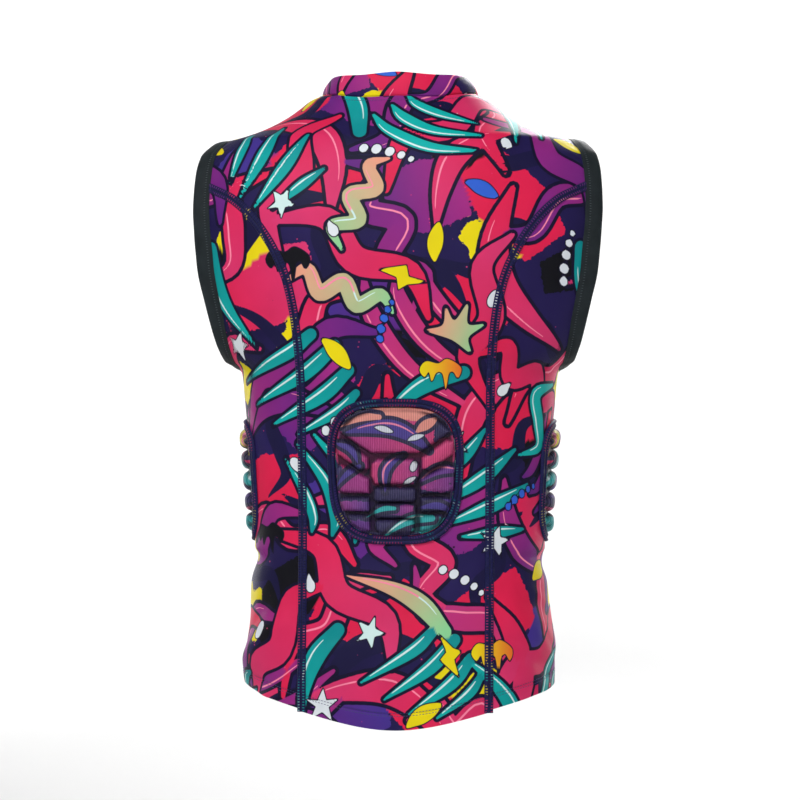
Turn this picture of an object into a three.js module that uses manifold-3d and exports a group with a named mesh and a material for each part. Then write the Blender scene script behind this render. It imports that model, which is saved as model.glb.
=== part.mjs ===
// A sleeveless padded sports shirt, in the form that it has when it is worn.
// Stretch cloth panels are joined by flat covered seams; elastic binding edges the armholes, a stand
// collar the neck, and moulded foam pads cover the spine, the ribs on both sides and the breastbone.
// Millimetres. +X is the wearer's right, +Y the wearer's front and +Z up. The origin lies midway
// between the two points where the shoulders meet the neck.
import * as THREE from 'three';
import { mergeVertices } from 'three/addons/utils/BufferGeometryUtils.js';
import Module from 'manifold-3d';

const wasm = await Module();
wasm.setup();

// Body of the shirt
const bodyLength = 617; // neck point to the hem at the centre back
const hemRise = 33; // the hem is this much higher at the sides than at the centre back
const frontHemDrop = 20; // and this much lower at the centre front than at the sides
const neckHalfWidth = 79;
const shoulderHalfWidth = 172.5; // of the form, at the shoulder tips
const shoulderDrop = 46; // neck point down to the shoulder tips
const armpitDrop = 271; // neck point down to the armpits
const armHalfWidth = 218; // of the form, where an arm would leave it
const chestHalfWidth = 157.5; // just below the armpits
const waistHalfWidth = 144.5;
const hemHalfWidth = 154.5;
const chestBackDepth = 110;
const chestFrontDepth = 116;
const waistBackDepth = 86;
const waistFrontDepth = 94;
const hemBackDepth = 106;
const hemFrontDepth = 102;
const wall = 1.4; // stretch cloth with its brushed inside
const pieceGap = 0.3; // between pieces that meet edge to edge or lie on each other

// Openings and seams
const neckHoleHalfWidth = 78;
const neckHoleHalfDepth = 72;
const neckHoleForward = 12; // centre of the neck hole, ahead of the origin
const neckHolePower = 2.5; // of its outline: 2 is an ellipse, and more is squarer
const collarHeight = 24;
const collarSideHeight = 16;
const collarLean = 10; // the collar's top edge lies this much inside its foot at the sides
const collarBackLean = 3; // and this much at the centre back
const collarFrontLean = 6;
const collarWall = 2;
const armholeHalfWidth = 184.7; // the cloth's edge at the armhole, at its widest
const bindingReach = 16; // the binding stands out past the cloth's edge by this much
const bindingWall = 2.2;
const bindingBow = 0.8; // how far the binding bows out across its width
const seamHalfDistance = 90; // princess seams, each side of the centre back and centre front
const seamJoinDrop = 95; // neck point down to where a princess seam meets the armhole
const seamBandWidth = 9;
const seamBandWall = 1.2;
const seamBandGap = 0.6; // under a seam band, clear of the panels' facets
const stillNearSeam = 14; // folds die out this close to a seam
const foldHeight = 5;

// Pads
const padBaseWall = 3;
const blockHeight = 9; // top of a foam block above the cloth
const blockEdge = 3.2; // width of a block's rounded shoulder
const backPadWidth = 120;
const backPadHeight = 124;
const backPadDrop = 372; // neck point down to the middle of the back pad
const chestPadWidth = 132;
const chestPadHeight = 132;
const chestPadDrop = 178;
const ribPadLength = 100; // along the body, from its back edge towards the front
const ribPadHeight = 106;
const ribPadDrop = 383;
const ribPadStartTurn = 77; // degrees from the centre back to the rib pads' back edge
const ribPadRows = 5;
const ribPadColumns = 2;
const chestPadRows = 4;
const chestPadColumns = 3;
const padBandWidth = 7.5;
const padBandWall = 2;
const padTaper = 0.1; // a pad is narrower at its foot than at its top by this share
const padGap = 0.5; // under a pad and its edge
const padEdgeGap = 1.5; // between a pad and its edge
const underPad = 1.5; // a pad's blank reaches this far below the cloth before it is shaped to the cloth

// Facets
const shoulderSteps = 3;
const neckSteps = 10; // across half of the neck hole
const armUpperSteps = 4; // from a shoulder tip to a princess seam
const armLowerSteps = 14; // from seam to seam under the arm
const seamSteps = 14;
const bandSteps = 22;

// The form of the shirt, level by level. along is a share of the zone: the yoke runs from the neck
// point to the shoulder tips, the arm zone on to the armpits, and the trunk on to the hem at the back.
// In the yoke, width runs from 0 at the neck's width to 1 at the shoulders'. In the arm zone it runs
// from 0 at the chest's width to 1 at the arms'. back and front are shares of the chest's depths there.
// In the trunk all three run from 0 at the chest's size through 1 at the waist's to 2 at the hem's.
// power is that of the section's outline: 2 is an ellipse, and more is squarer.
const SECTIONS = [
  { zone: 'yoke', along: -0.25, width: -0.2, back: 0.4, front: 0.27, power: 2.0 },
  { zone: 'yoke', along: 0.0, width: 0.0, back: 0.51, front: 0.4, power: 2.0 },
  { zone: 'yoke', along: 0.11, width: 0.123, back: 0.54, front: 0.44, power: 2.0 },
  { zone: 'yoke', along: 0.24, width: 0.203, back: 0.57, front: 0.48, power: 2.02 },
  { zone: 'yoke', along: 0.5, width: 0.385, back: 0.64, front: 0.57, power: 2.05 },
  { zone: 'yoke', along: 0.76, width: 0.642, back: 0.7, front: 0.64, power: 2.1 },
  { zone: 'yoke', along: 0.9, width: 0.84, back: 0.74, front: 0.68, power: 2.15 },
  { zone: 'yoke', along: 1.0, width: 1.0, back: 0.77, front: 0.7, power: 2.2 },
  { zone: 'arm', along: 0.036, width: 0.471, back: 0.81, front: 0.74, power: 2.2 },
  { zone: 'arm', along: 0.071, width: 0.653, back: 0.84, front: 0.77, power: 2.2 },
  { zone: 'arm', along: 0.133, width: 0.818, back: 0.885, front: 0.83, power: 2.2 },
  { zone: 'arm', along: 0.22, width: 0.926, back: 0.935, front: 0.89, power: 2.2 },
  { zone: 'arm', along: 0.35, width: 1.0, back: 0.985, front: 0.95, power: 2.2 },
  { zone: 'arm', along: 0.507, width: 0.957, back: 1.0, front: 0.985, power: 2.2 },
  { zone: 'arm', along: 0.66, width: 0.835, back: 0.99, front: 1.0, power: 2.2 },
  { zone: 'arm', along: 0.8, width: 0.625, back: 0.965, front: 0.995, power: 2.2 },
  { zone: 'arm', along: 0.884, width: 0.438, back: 0.945, front: 0.985, power: 2.25 },
  { zone: 'arm', along: 0.942, width: 0.281, back: 0.93, front: 0.975, power: 2.3 },
  { zone: 'arm', along: 0.978, width: 0.149, back: 0.92, front: 0.97, power: 2.3 },
  { zone: 'arm', along: 1.0, width: 0.045, back: 0.915, front: 0.965, power: 2.3 },
  { zone: 'trunk', along: 0.02, width: 0.0, back: 0.42, front: 0.2, power: 2.3 },
  { zone: 'trunk', along: 0.107, width: 0.23, back: 0.62, front: 0.4, power: 2.35 },
  { zone: 'trunk', along: 0.194, width: 0.46, back: 0.78, front: 0.6, power: 2.4 },
  { zone: 'trunk', along: 0.344, width: 0.81, back: 0.96, front: 0.85, power: 2.5 },
  { zone: 'trunk', along: 0.43, width: 0.97, back: 1.0, front: 0.95, power: 2.5 },
  { zone: 'trunk', along: 0.5, width: 1.0, back: 1.04, front: 1.0, power: 2.5 },
  { zone: 'trunk', along: 0.627, width: 1.3, back: 1.3, front: 1.2, power: 2.45 },
  { zone: 'trunk', along: 0.714, width: 1.45, back: 1.55, front: 1.45, power: 2.4 },
  { zone: 'trunk', along: 0.8, width: 1.8, back: 1.8, front: 1.7, power: 2.4 },
  { zone: 'trunk', along: 0.905, width: 2.0, back: 2.0, front: 1.95, power: 2.4 },
  { zone: 'trunk', along: 1.0, width: 1.85, back: 2.05, front: 2.0, power: 2.4 },
];

// The cloth's edge at the armhole. along is a share of the arm zone, and width runs from 0 at the
// chest's width to 1 at the armhole's; reach is the binding's share of its full reach past that edge.
const ARMHOLE = [
  { along: -0.036, width: 0.165, reach: 1.0 },
  { along: -0.009, width: 0.386, reach: 1.0 },
  { along: 0.018, width: 0.57, reach: 1.0 },
  { along: 0.071, width: 0.83, reach: 1.0 },
  { along: 0.164, width: 0.955, reach: 1.0 },
  { along: 0.298, width: 1.0, reach: 1.0 },
  { along: 0.387, width: 0.963, reach: 1.0 },
  { along: 0.48, width: 0.882, reach: 1.04 },
  { along: 0.578, width: 0.81, reach: 1.03 },
  { along: 0.702, width: 0.636, reach: 0.95 },
  { along: 0.796, width: 0.485, reach: 0.92 },
  { along: 0.858, width: 0.408, reach: 0.86 },
  { along: 0.92, width: 0.312, reach: 0.8 },
  { along: 0.973, width: 0.2, reach: 0.75 },
  { along: 1.0, width: 0.06, reach: 0.75 },
  { along: 1.03, width: 0.05, reach: 0.75 },
];

// A princess seam's way down from the armhole: down runs from 0 at the armhole to 1 at the hem, and
// out from 0 at the seam's own distance to 1 at the armhole's edge.
const PRINCESS = [
  { down: 0.0, out: 1.0 },
  { down: 0.027, out: 0.72 },
  { down: 0.077, out: 0.45 },
  { down: 0.135, out: 0.255 },
  { down: 0.19, out: 0.14 },
  { down: 0.255, out: 0.07 },
  { down: 0.33, out: 0.03 },
  { down: 0.4, out: 0.015 },
  { down: 1.0, out: 0.0 },
];

// Folds of the cloth. turn is in degrees from the centre back towards side (1 right, -1 left), down a
// share of the body's length, slope in degrees from level, length and width shares of the body's
// length, and height a share of the fold height.
const FOLDS = [
  { side: -1, turn: 66, down: 0.87, slope: 38, length: 0.085, width: 0.024, height: 1.0 },
  { side: -1, turn: 64, down: 0.93, slope: 34, length: 0.07, width: 0.022, height: -0.8 },
  { side: -1, turn: 88, down: 0.745, slope: 8, length: 0.09, width: 0.022, height: -0.9 },
  { side: -1, turn: 96, down: 0.82, slope: 74, length: 0.08, width: 0.024, height: 0.6 },
  { side: 1, turn: 84, down: 0.75, slope: -10, length: 0.09, width: 0.02, height: -0.9 },
  { side: 1, turn: 66, down: 0.84, slope: -30, length: 0.08, width: 0.022, height: 0.7 },
  { side: 1, turn: 68, down: 0.9, slope: -36, length: 0.08, width: 0.022, height: -0.6 },
  { side: 1, turn: 92, down: 0.86, slope: 62, length: 0.07, width: 0.022, height: 0.5 },
  { side: -1, turn: 150, down: 0.8, slope: 24, length: 0.1, width: 0.026, height: 0.6 },
  { side: 1, turn: 150, down: 0.83, slope: -24, length: 0.1, width: 0.026, height: 0.6 },
  { side: -1, turn: 24, down: 0.8, slope: 14, length: 0.1, width: 0.026, height: 0.45 },
  { side: 1, turn: 20, down: 0.9, slope: -12, length: 0.1, width: 0.026, height: 0.4 },
];

// Blocks of the back pad, as shares of the pad's half width and half height, each given by its corners
// in turn. Only the wearer's right half is listed: a block on the middle line is its own mirror image.
const BACK_BLOCKS = [
  { middle: true, corners: [[0, 0.93], [0.62, 0.8], [0.9, 0.4], [0.5, 0.27], [0, 0.22]] },
  { middle: true, corners: [[0, 0.16], [0.4, 0.16], [0.4, -0.2], [0, -0.2]] },
  { middle: true, corners: [[0, -0.27], [0.36, -0.27], [0.36, -0.45], [0, -0.45]] },
  { middle: true, corners: [[0, -0.52], [0.36, -0.52], [0.36, -0.7], [0, -0.7]] },
  { middle: true, corners: [[0, -0.77], [0.36, -0.77], [0.32, -0.92], [0, -0.93]] },
  { middle: false, corners: [[0.46, 0.13], [0.94, 0.42], [0.94, 0.1], [0.52, -0.14]] },
  { middle: false, corners: [[0.46, -0.18], [0.94, 0.02], [0.94, -0.3], [0.46, -0.33]] },
  { middle: false, corners: [[0.43, -0.39], [0.93, -0.37], [0.86, -0.58], [0.43, -0.59]] },
  { middle: false, corners: [[0.43, -0.65], [0.82, -0.65], [0.6, -0.86], [0.43, -0.9]] },
];

// A curve through points that never swings past them, as a function.
function curveThrough(points) {
  const x = points.map((p) => p[0]);
  const y = points.map((p) => p[1]);
  const last = x.length - 1;
  const rise = x.slice(1).map((v, i) => (y[i + 1] - y[i]) / (v - x[i]));
  const slope = x.map((v, i) => {
    if (i === 0) return rise[0];
    if (i === last) return rise[last - 1];
    const flat = rise[i - 1] * rise[i] <= 0;
    return flat ? 0 : (2 * rise[i - 1] * rise[i]) / (rise[i - 1] + rise[i]);
  });
  return (at) => {
    if (at <= x[0]) return y[0] + slope[0] * (at - x[0]);
    if (at >= x[last]) return y[last] + slope[last] * (at - x[last]);
    const i = x.findIndex((v) => v > at) - 1;
    const span = x[i + 1] - x[i];
    const t = (at - x[i]) / span;
    const s = 1 - t;
    const ends = y[i] * s * s * (1 + 2 * t) + y[i + 1] * t * t * (1 + 2 * s);
    return ends + span * s * t * (slope[i] * s - slope[i + 1] * t);
  };
}

const mix = (a, b, share) => a + (b - a) * share;
const throughThree = (a, b, c, at) => (at < 1 ? mix(a, b, at) : mix(b, c, at - 1));
const armLevel = (along) => -mix(shoulderDrop, armpitDrop, along);

// Half width and depths of the form, and the power of its outline, at one row of the table.
function sectionSizes(row) {
  if (row.zone === 'trunk')
    return {
      level: -mix(armpitDrop, bodyLength, row.along),
      width: throughThree(chestHalfWidth, waistHalfWidth, hemHalfWidth, row.width),
      back: throughThree(chestBackDepth, waistBackDepth, hemBackDepth, row.back),
      front: throughThree(chestFrontDepth, waistFrontDepth, hemFrontDepth, row.front),
    };
  const yoke = row.zone === 'yoke';
  return {
    level: yoke ? -shoulderDrop * row.along : armLevel(row.along),
    width: yoke
      ? mix(neckHalfWidth, shoulderHalfWidth, row.width)
      : mix(chestHalfWidth, armHalfWidth, row.width),
    back: chestBackDepth * row.back,
    front: chestFrontDepth * row.front,
  };
}

const levels = SECTIONS.map((row) => ({ ...sectionSizes(row), power: row.power })).reverse();
const formWidth = curveThrough(levels.map((s) => [s.level, s.width]));
const formBack = curveThrough(levels.map((s) => [s.level, s.back]));
const formFront = curveThrough(levels.map((s) => [s.level, s.front]));
const formPower = curveThrough(levels.map((s) => [s.level, s.power]));

// How far a point is outside the form: 0 on it, and about 1 per width outside.
function outside(p) {
  const n = formPower(p.z);
  const depth = p.y < 0 ? formBack(p.z) : formFront(p.z);
  return (Math.abs(p.x) / formWidth(p.z)) ** n + (Math.abs(p.y) / depth) ** n;
}

const level = (p) => outside(p) ** (1 / formPower(p.z)) - 1;

function gradient(p) {
  const h = 0.01;
  const at = (x, y, z) => level(new THREE.Vector3(p.x + x, p.y + y, p.z + z));
  const g = new THREE.Vector3(
    at(h, 0, 0) - at(-h, 0, 0),
    at(0, h, 0) - at(0, -h, 0),
    at(0, 0, h) - at(0, 0, -h),
  );
  return g.divideScalar(2 * h);
}

// The nearest point of the form to p, and the way out of it there.
function ontoForm(p) {
  const q = p.clone();
  for (let i = 0; i < 12; i += 1) {
    const g = gradient(q);
    q.addScaledVector(g, -level(q) / g.lengthSq());
  }
  return { point: q, out: gradient(q).normalize() };
}

// Depth of the form at a point of its outline seen from behind; side is -1 at the back and 1 in front.
function depthAt(x, z, side) {
  const n = formPower(z);
  const left = 1 - (Math.abs(x) / formWidth(z)) ** n;
  return side * (side < 0 ? formBack(z) : formFront(z)) * Math.max(left, 0) ** (1 / n);
}

// The point of the form at a level, turned by an angle from the centre back towards +X.
function turnedPoint(turn, z) {
  const n = formPower(z);
  const s = Math.sin(turn);
  const c = -Math.cos(turn);
  const depth = c < 0 ? formBack(z) : formFront(z);
  const reach = (Math.abs(s) / formWidth(z)) ** n + (Math.abs(c) / depth) ** n;
  const r = reach ** (-1 / n);
  return new THREE.Vector3(r * s, r * c, z);
}

const turnOf = (p) => Math.atan2(p.x, -p.y);

// The armhole's edge as a distance from the middle plane, and the binding's reach past it, by level.
const clothEdge = curveThrough(
  ARMHOLE.map((r) => [armLevel(r.along), mix(chestHalfWidth, armholeHalfWidth, r.width)]).reverse(),
);
const reachAt = curveThrough(ARMHOLE.map((r) => [armLevel(r.along), bindingReach * r.reach]).reverse());

// The level between low and high at which a function passes through nothing.
function crossing(of, low, high) {
  let [a, b] = [low, high];
  const rising = of(b) > of(a);
  for (let i = 0; i < 60; i += 1) {
    const m = (a + b) / 2;
    if (of(m) > 0 === rising) b = m;
    else a = m;
  }
  return (a + b) / 2;
}

// The armhole's edge, where the form is cut off. turn is 0 at the top of the shoulder, runs down the
// back, and is half a circle at the armpit.
const spare = (z) => formWidth(z) - clothEdge(z);
const armTop = crossing(spare, armLevel(0.5), armLevel(-0.09));
const armBottom = crossing(spare, armLevel(1.08), armLevel(0.5));
const armMiddle = (armTop + armBottom) / 2;
const armDepth = (armTop - armBottom) / 2;
function armhole(turn, side) {
  const z = armMiddle + armDepth * Math.cos(turn);
  const ends = Math.abs(Math.sin(turn)) < 1e-9;
  const y = ends ? 0 : depthAt(clothEdge(z), z, Math.sin(turn) > 0 ? -1 : 1);
  return new THREE.Vector3(side * clothEdge(z), y, z);
}
const joinTurn = Math.acos((-seamJoinDrop - armMiddle) / armDepth);

// Hem level round the body: lowest at the centre back and centre front.
const sideHem = -(bodyLength - hemRise);
const hemLevel = (turn) => {
  const c = Math.cos(turn);
  return sideHem - (c > 0 ? hemRise : frontHemDrop) * c * c;
};

// A princess seam from the hem up to the armhole, as points on the form.
const joinWidth = clothEdge(-seamJoinDrop);
const seamOut = curveThrough(PRINCESS.map((r) => [r.down, r.out]));
function princessSeam(side, face) {
  const turn = Math.atan2(seamHalfDistance, face < 0 ? hemBackDepth : hemFrontDepth);
  const foot = hemLevel(face < 0 ? turn : Math.PI - turn);
  return (share) => {
    const z = mix(foot, -seamJoinDrop, share);
    const x = mix(seamHalfDistance, joinWidth, seamOut(1 - share));
    return new THREE.Vector3(side * x, depthAt(x, z, face), z);
  };
}

// Shares of a seam's way up, closer together where it curves.
const seamShares = Array.from({ length: seamSteps + 1 }, (v, i) => (i / seamSteps) ** 0.82);

// The neck hole's edge, turned from the centre back towards +X. Its sides lie on the shoulder seams.
const neckReach = (turn) => (Math.abs(Math.cos(turn)) ** neckHolePower
  + Math.abs(Math.sin(turn)) ** neckHolePower) ** (-1 / neckHolePower);
const neckForward = (turn) => neckHoleForward - neckHoleHalfDepth * neckReach(turn) * Math.cos(turn);
const neckSideTurn = crossing(neckForward, 0, Math.PI);
function neckEdge(turn) {
  const x = neckHoleHalfWidth * neckReach(turn) * Math.sin(turn);
  const y = neckForward(turn);
  const z = crossing((h) => level(new THREE.Vector3(x, y, h)), armLevel(0.3), shoulderDrop * 0.25);
  return new THREE.Vector3(x, y, z);
}

// Folds rise and sink the cloth, but not beside a seam, a binding or a pad.
function foldAt(p) {
  const turn = THREE.MathUtils.radToDeg(turnOf(p));
  const armFade = THREE.MathUtils.smoothstep(-p.z, armpitDrop, armpitDrop * 1.12);
  if (armFade === 0) return 0;
  const toSeam = Math.abs(Math.abs(p.x) - seamHalfDistance);
  const seamFade = THREE.MathUtils.smoothstep(toSeam, seamBandWidth * 0.6, stillNearSeam + seamBandWidth);
  const padFade = 1 - THREE.MathUtils.smoothstep(
    ribPadDrop + ribPadHeight * 0.62 + p.z, -stillNearSeam * 0.5, 0);
  const perDegree = ((formWidth(p.z) + formBack(p.z)) / 2) * THREE.MathUtils.degToRad(1);
  return FOLDS.reduce((sum, f) => {
    const across = (turn - f.side * f.turn) * perDegree;
    const up = p.z + f.down * bodyLength;
    const slope = THREE.MathUtils.degToRad(f.slope);
    const along = across * Math.cos(slope) + up * Math.sin(slope);
    const off = up * Math.cos(slope) - across * Math.sin(slope);
    const bell = Math.exp(-((along / (f.length * bodyLength)) ** 2) - (off / (f.width * bodyLength)) ** 2);
    return sum + f.height * foldHeight * bell * seamFade * padFade;
  }, 0);
}

// The shirt's outer skin near p, raised by a height.
function skin(p, raise = 0, still = false) {
  const { point, out } = ontoForm(p);
  const lift = raise + (still ? 0 : foldAt(point));
  return { point: point.clone().addScaledVector(out, lift), out };
}

// A geometry from a list of triangles, each of three points, turned to face outwards.
function geometryOf(triangles) {
  let volume = 0;
  for (const [a, b, c] of triangles) volume += a.dot(b.clone().cross(c));
  const corners = triangles.flatMap(([a, b, c]) => (volume < 0 ? [a, c, b] : [a, b, c]));
  return new THREE.BufferGeometry().setFromPoints(corners);
}

const quad = (a, b, c, d) => [[a, b, c], [a, c, d]];

// A closed sheet from two grids of points, one for each face. Its right half is creased as its left is.
function sheetGeometry(upper, lower) {
  const triangles = [];
  const rows = upper.length - 1;
  const cols = upper[0].length - 1;
  for (let i = 0; i < rows; i += 1)
    for (let j = 0; j < cols; j += 1) {
      const corners = [[i, j], [i, j + 1], [i + 1, j + 1], [i + 1, j]];
      if (2 * j >= cols) corners.push(corners.shift());
      const of = (face) => corners.map(([m, n]) => face[m][n]);
      triangles.push(...quad(...of(upper)));
      triangles.push(...quad(...of(lower)).map(([a, b, c]) => [a, c, b]));
    }
  const rim = [];
  for (let j = 0; j < cols; j += 1) rim.push([0, j]);
  for (let i = 0; i < rows; i += 1) rim.push([i, cols]);
  for (let j = cols; j > 0; j -= 1) rim.push([rows, j]);
  for (let i = rows; i > 0; i -= 1) rim.push([i, 0]);
  rim.forEach(([i, j], k) => {
    const [m, n] = rim[(k + 1) % rim.length];
    triangles.push(...quad(upper[m][n], upper[i][j], lower[i][j], lower[m][n]));
  });
  return geometryOf(triangles);
}

// A solid through a row of like outlines, closed on itself or with flat ends.
function sweptGeometry(sections, closed) {
  const triangles = [];
  const count = sections[0].length;
  const steps = closed ? sections.length : sections.length - 1;
  for (let i = 0; i < steps; i += 1) {
    const a = sections[i];
    const b = sections[(i + 1) % sections.length];
    for (let k = 0; k < count; k += 1) {
      const m = (k + 1) % count;
      triangles.push(...quad(a[k], a[m], b[m], b[k]));
    }
  }
  if (!closed)
    for (let k = 1; k < count - 1; k += 1) {
      const [a, b] = [sections[0], sections[sections.length - 1]];
      triangles.push([a[0], a[k + 1], a[k]], [b[0], b[k], b[k + 1]]);
    }
  return geometryOf(triangles);
}

// Points of a patch between four edges, each a list of points that run left to right or hem to top.
function patchBetween(foot, top, left, right) {
  const rows = left.length - 1;
  const cols = foot.length - 1;
  return left.map((l, i) => foot.map((f, j) => {
    if (i === 0) return foot[j];
    if (i === rows) return top[j];
    if (j === 0) return l;
    if (j === cols) return right[i];
    const [s, t] = [j / cols, i / rows];
    const p = new THREE.Vector3();
    p.addScaledVector(foot[j], 1 - t).addScaledVector(top[j], t);
    p.addScaledVector(l, 1 - s).addScaledVector(right[i], s);
    p.addScaledVector(foot[0], -(1 - s) * (1 - t)).addScaledVector(foot[cols], -s * (1 - t));
    p.addScaledVector(top[0], -(1 - s) * t).addScaledVector(top[cols], -s * t);
    return p;
  }));
}

// The same grid with a narrow column beside each side edge, as wide as a seam band reaches.
function withSeamColumns(grid) {
  const reach = seamBandWidth / 2;
  return grid.map((row, i) => {
    const beside = (edge, next) => {
      const step = row[next].clone().sub(row[edge]);
      if (i === 0 || i > seamSteps || i === grid.length - 1)
        return row[edge].clone().addScaledVector(step.normalize(), reach);
      const way = grid[i + 1][edge].clone().sub(grid[i - 1][edge]).normalize();
      const across = way.cross(ontoForm(row[edge]).out).normalize();
      return row[edge].clone().addScaledVector(across, reach * Math.sign(across.dot(step)));
    };
    const last = row.length - 1;
    return [row[0], beside(0, 1), ...row.slice(1, -1), beside(last, last - 1), row[last]];
  });
}

// Draws a grid's outermost points in towards their neighbours, so that a gap is left round the sheet.
function drawnIn(grid, by) {
  const rows = grid.length - 1;
  const cols = grid[0].length - 1;
  const towards = (p, q) => p.clone().addScaledVector(q.clone().sub(p).normalize(), by);
  const acrossCols = grid.map((row) => row.map((p, j) => {
    if (j === 0) return towards(p, row[1]);
    return j === cols ? towards(p, row[cols - 1]) : p;
  }));
  return acrossCols.map((row, i) => row.map((p, j) => {
    if (i === 0) return towards(p, acrossCols[1][j]);
    return i === rows ? towards(p, acrossCols[rows - 1][j]) : p;
  }));
}

// A patch laid on the form, with its folds.
const skinsOf = (grid) => grid.map((row) => row.map((p) => skin(p)));

// A sheet whose faces lie above and below a panel's outer face.
function layerGeometry(skins, above, below) {
  const face = (by) => skins.map((row) => row.map((s) => s.point.clone().addScaledVector(s.out, by)));
  return sheetGeometry(face(above), face(-below));
}

const spread = (from, to, steps) => Array.from({ length: steps + 1 }, (v, i) => mix(from, to, i / steps));

// Top edge of the back or front panel: up one shoulder, round the neck hole and down the other shoulder.
function yokeEdge(face) {
  const turns = face < 0
    ? spread(-neckSideTurn, neckSideTurn, neckSteps)
    : spread(-neckSideTurn, neckSideTurn - 2 * Math.PI, neckSteps);
  const neck = turns.map((t) => neckEdge(t));
  const shoulder = (side) => {
    const tip = armhole(0, side);
    const foot = neckEdge(side * neckSideTurn);
    return spread(0, 1, shoulderSteps).slice(0, -1).map((s) => {
      const x = mix(tip.x, foot.x, s);
      const z = crossing((h) => Math.abs(x) - formWidth(h), armLevel(0.3), shoulderDrop * 0.2);
      return new THREE.Vector3(x, 0, z);
    });
  };
  return [...shoulder(-1), ...neck, ...shoulder(1).reverse()];
}

// The back or front panel: its side edges run up the princess seams and on along the armholes.
function bodyPanel(face) {
  const sideEdge = (side) => {
    const rising = spread(joinTurn, 0, armUpperSteps).slice(1);
    const arm = rising.map((t) => armhole(face < 0 ? t : -t, side));
    return [...seamShares.map(princessSeam(side, face)), ...arm];
  };
  const [left, right] = [sideEdge(-1), sideEdge(1)];
  const top = yokeEdge(face);
  const end = face < 0 ? turnOf(right[0]) : turnOf(right[0]) - 2 * Math.PI;
  const foot = spread(turnOf(left[0]), end, top.length - 1).map((t) => turnedPoint(t, hemLevel(t)));
  return withSeamColumns(patchBetween(foot, top, left, right));
}

// A side panel: its columns run up from the hem, each at its own share of the way from the back seam
// to the front seam, until they meet the armhole's edge.
function sidePanel(side) {
  const seams = [princessSeam(side, -1), princessSeam(side, 1)];
  const shareAt = (seam, z) => (z - seam(0).z) / (seam(1).z - seam(0).z);
  const seamTurns = (z) => seams.map((seam) => turnOf(seam(shareAt(seam, z))));
  const columns = spread(joinTurn, 2 * Math.PI - joinTurn, armLowerSteps).map((t) => {
    const top = armhole(t, side);
    const [a, b] = seamTurns(top.z);
    return { top, share: (turnOf(top) - a) / (b - a) };
  });
  return withSeamColumns(seamShares.map((up, i) => columns.map(({ top, share }, j) => {
    if (j === 0) return seams[0](up);
    if (j === armLowerSteps) return seams[1](up);
    if (i === seamSteps) return top;
    const turnAt = (z) => mix(...seamTurns(z), share);
    const z = mix(hemLevel(turnAt(sideHem)), top.z, up);
    return turnedPoint(turnAt(z), z);
  })));
}

// The armhole's elastic binding, folded flat and sewn to the cloth's edge. It leaves the cloth between
// the cloth's own direction and straight out along the arm.
function bindingGeometry(side) {
  const turns = [
    ...spread(0, joinTurn, armUpperSteps).slice(0, -1),
    ...spread(joinTurn, 2 * Math.PI - joinTurn, armLowerSteps),
    ...spread(2 * Math.PI - joinTurn, 2 * Math.PI, armUpperSteps).slice(1, -1),
  ];
  return sweptGeometry(turns.map((turn) => {
    const near = armhole(turn, side);
    const along = armhole(turn + 0.02, side).sub(armhole(turn - 0.02, side)).normalize();
    const { out } = ontoForm(near);
    const onCloth = along.clone().cross(out).normalize();
    onCloth.multiplyScalar(Math.sign(onCloth.x) * side);
    const way = onCloth.clone().add(new THREE.Vector3(side, 0, 0)).normalize();
    const reach = reachAt(near.z) / Math.abs(way.x);
    const up = out.clone().addScaledVector(way, -out.dot(way)).normalize();
    const proud = (bindingWall - wall) / 2;
    const place = (share, raise) => near.clone()
      .addScaledVector(onCloth, pieceGap)
      .addScaledVector(way, (reach - pieceGap) * share)
      .addScaledVector(up, proud + raise + Math.sin(Math.PI * share) * bindingBow);
    return [
      place(0, 0), place(0.5, 0), place(1, 0),
      place(1, -bindingWall), place(0.5, -bindingWall), place(0, -bindingWall),
    ];
  }), true);
}

// The stand collar: a doubled band that rises from the neck hole's edge and leans in round the neck.
function collarGeometry() {
  const turns = [
    ...spread(-neckSideTurn, neckSideTurn, neckSteps),
    ...spread(neckSideTurn, 2 * Math.PI - neckSideTurn, neckSteps).slice(1, -1),
  ];
  const footRise = pieceGap + wall * 0.5;
  return sweptGeometry(turns.map((turn) => {
    const foot = neckEdge(turn);
    const away = new THREE.Vector3(
      foot.x / neckHoleHalfWidth, (foot.y - neckHoleForward) / neckHoleHalfDepth, 0).normalize();
    const sideways = Math.abs(Math.sin(turn));
    const endLean = Math.cos(turn) > 0 ? collarBackLean : collarFrontLean;
    const lean = mix(endLean, collarLean, sideways ** 2);
    const rise = mix(collarHeight, collarSideHeight, sideways ** 2);
    const at = (up, inward, off) => {
      const bow = Math.sin(Math.PI * Math.min(up, 1)) * collarWall * 0.5;
      return foot.clone()
        .addScaledVector(away, bow - lean * inward - off)
        .add(new THREE.Vector3(0, 0, footRise + (rise - footRise) * up));
    };
    return [
      at(0, 0, 0), at(0.5, 0.4, 0), at(1, 1, 0),
      at(1, 1, collarWall), at(0.5, 0.4, collarWall), at(0, 0, collarWall),
    ];
  }), true);
}

// The flat covered seam over the joint between two panels: a band that lies on the narrow outermost
// columns of both.
function seamBandGeometry(body, flank, side, face) {
  const besideEdge = (grid, atStart) => grid.slice(0, seamSteps + 1).map((row) => {
    const ordered = atStart ? row : [...row].reverse();
    return [ordered[0], ordered[1]];
  });
  const inner = besideEdge(body, side < 0);
  const outer = besideEdge(flank, face < 0);
  const top = seamBandGap + seamBandWall;
  return sweptGeometry(inner.map(([seam, onBody], i) => {
    const onFlank = outer[i][1];
    const raised = (p, by) => skin(p, by).point;
    const crown = (p) => raised(seam.clone().lerp(p, 0.75), top);
    return [
      raised(onBody, seamBandGap), crown(onBody), crown(onFlank), raised(onFlank, seamBandGap),
      raised(seam, seamBandGap),
    ];
  }), false);
}

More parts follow.
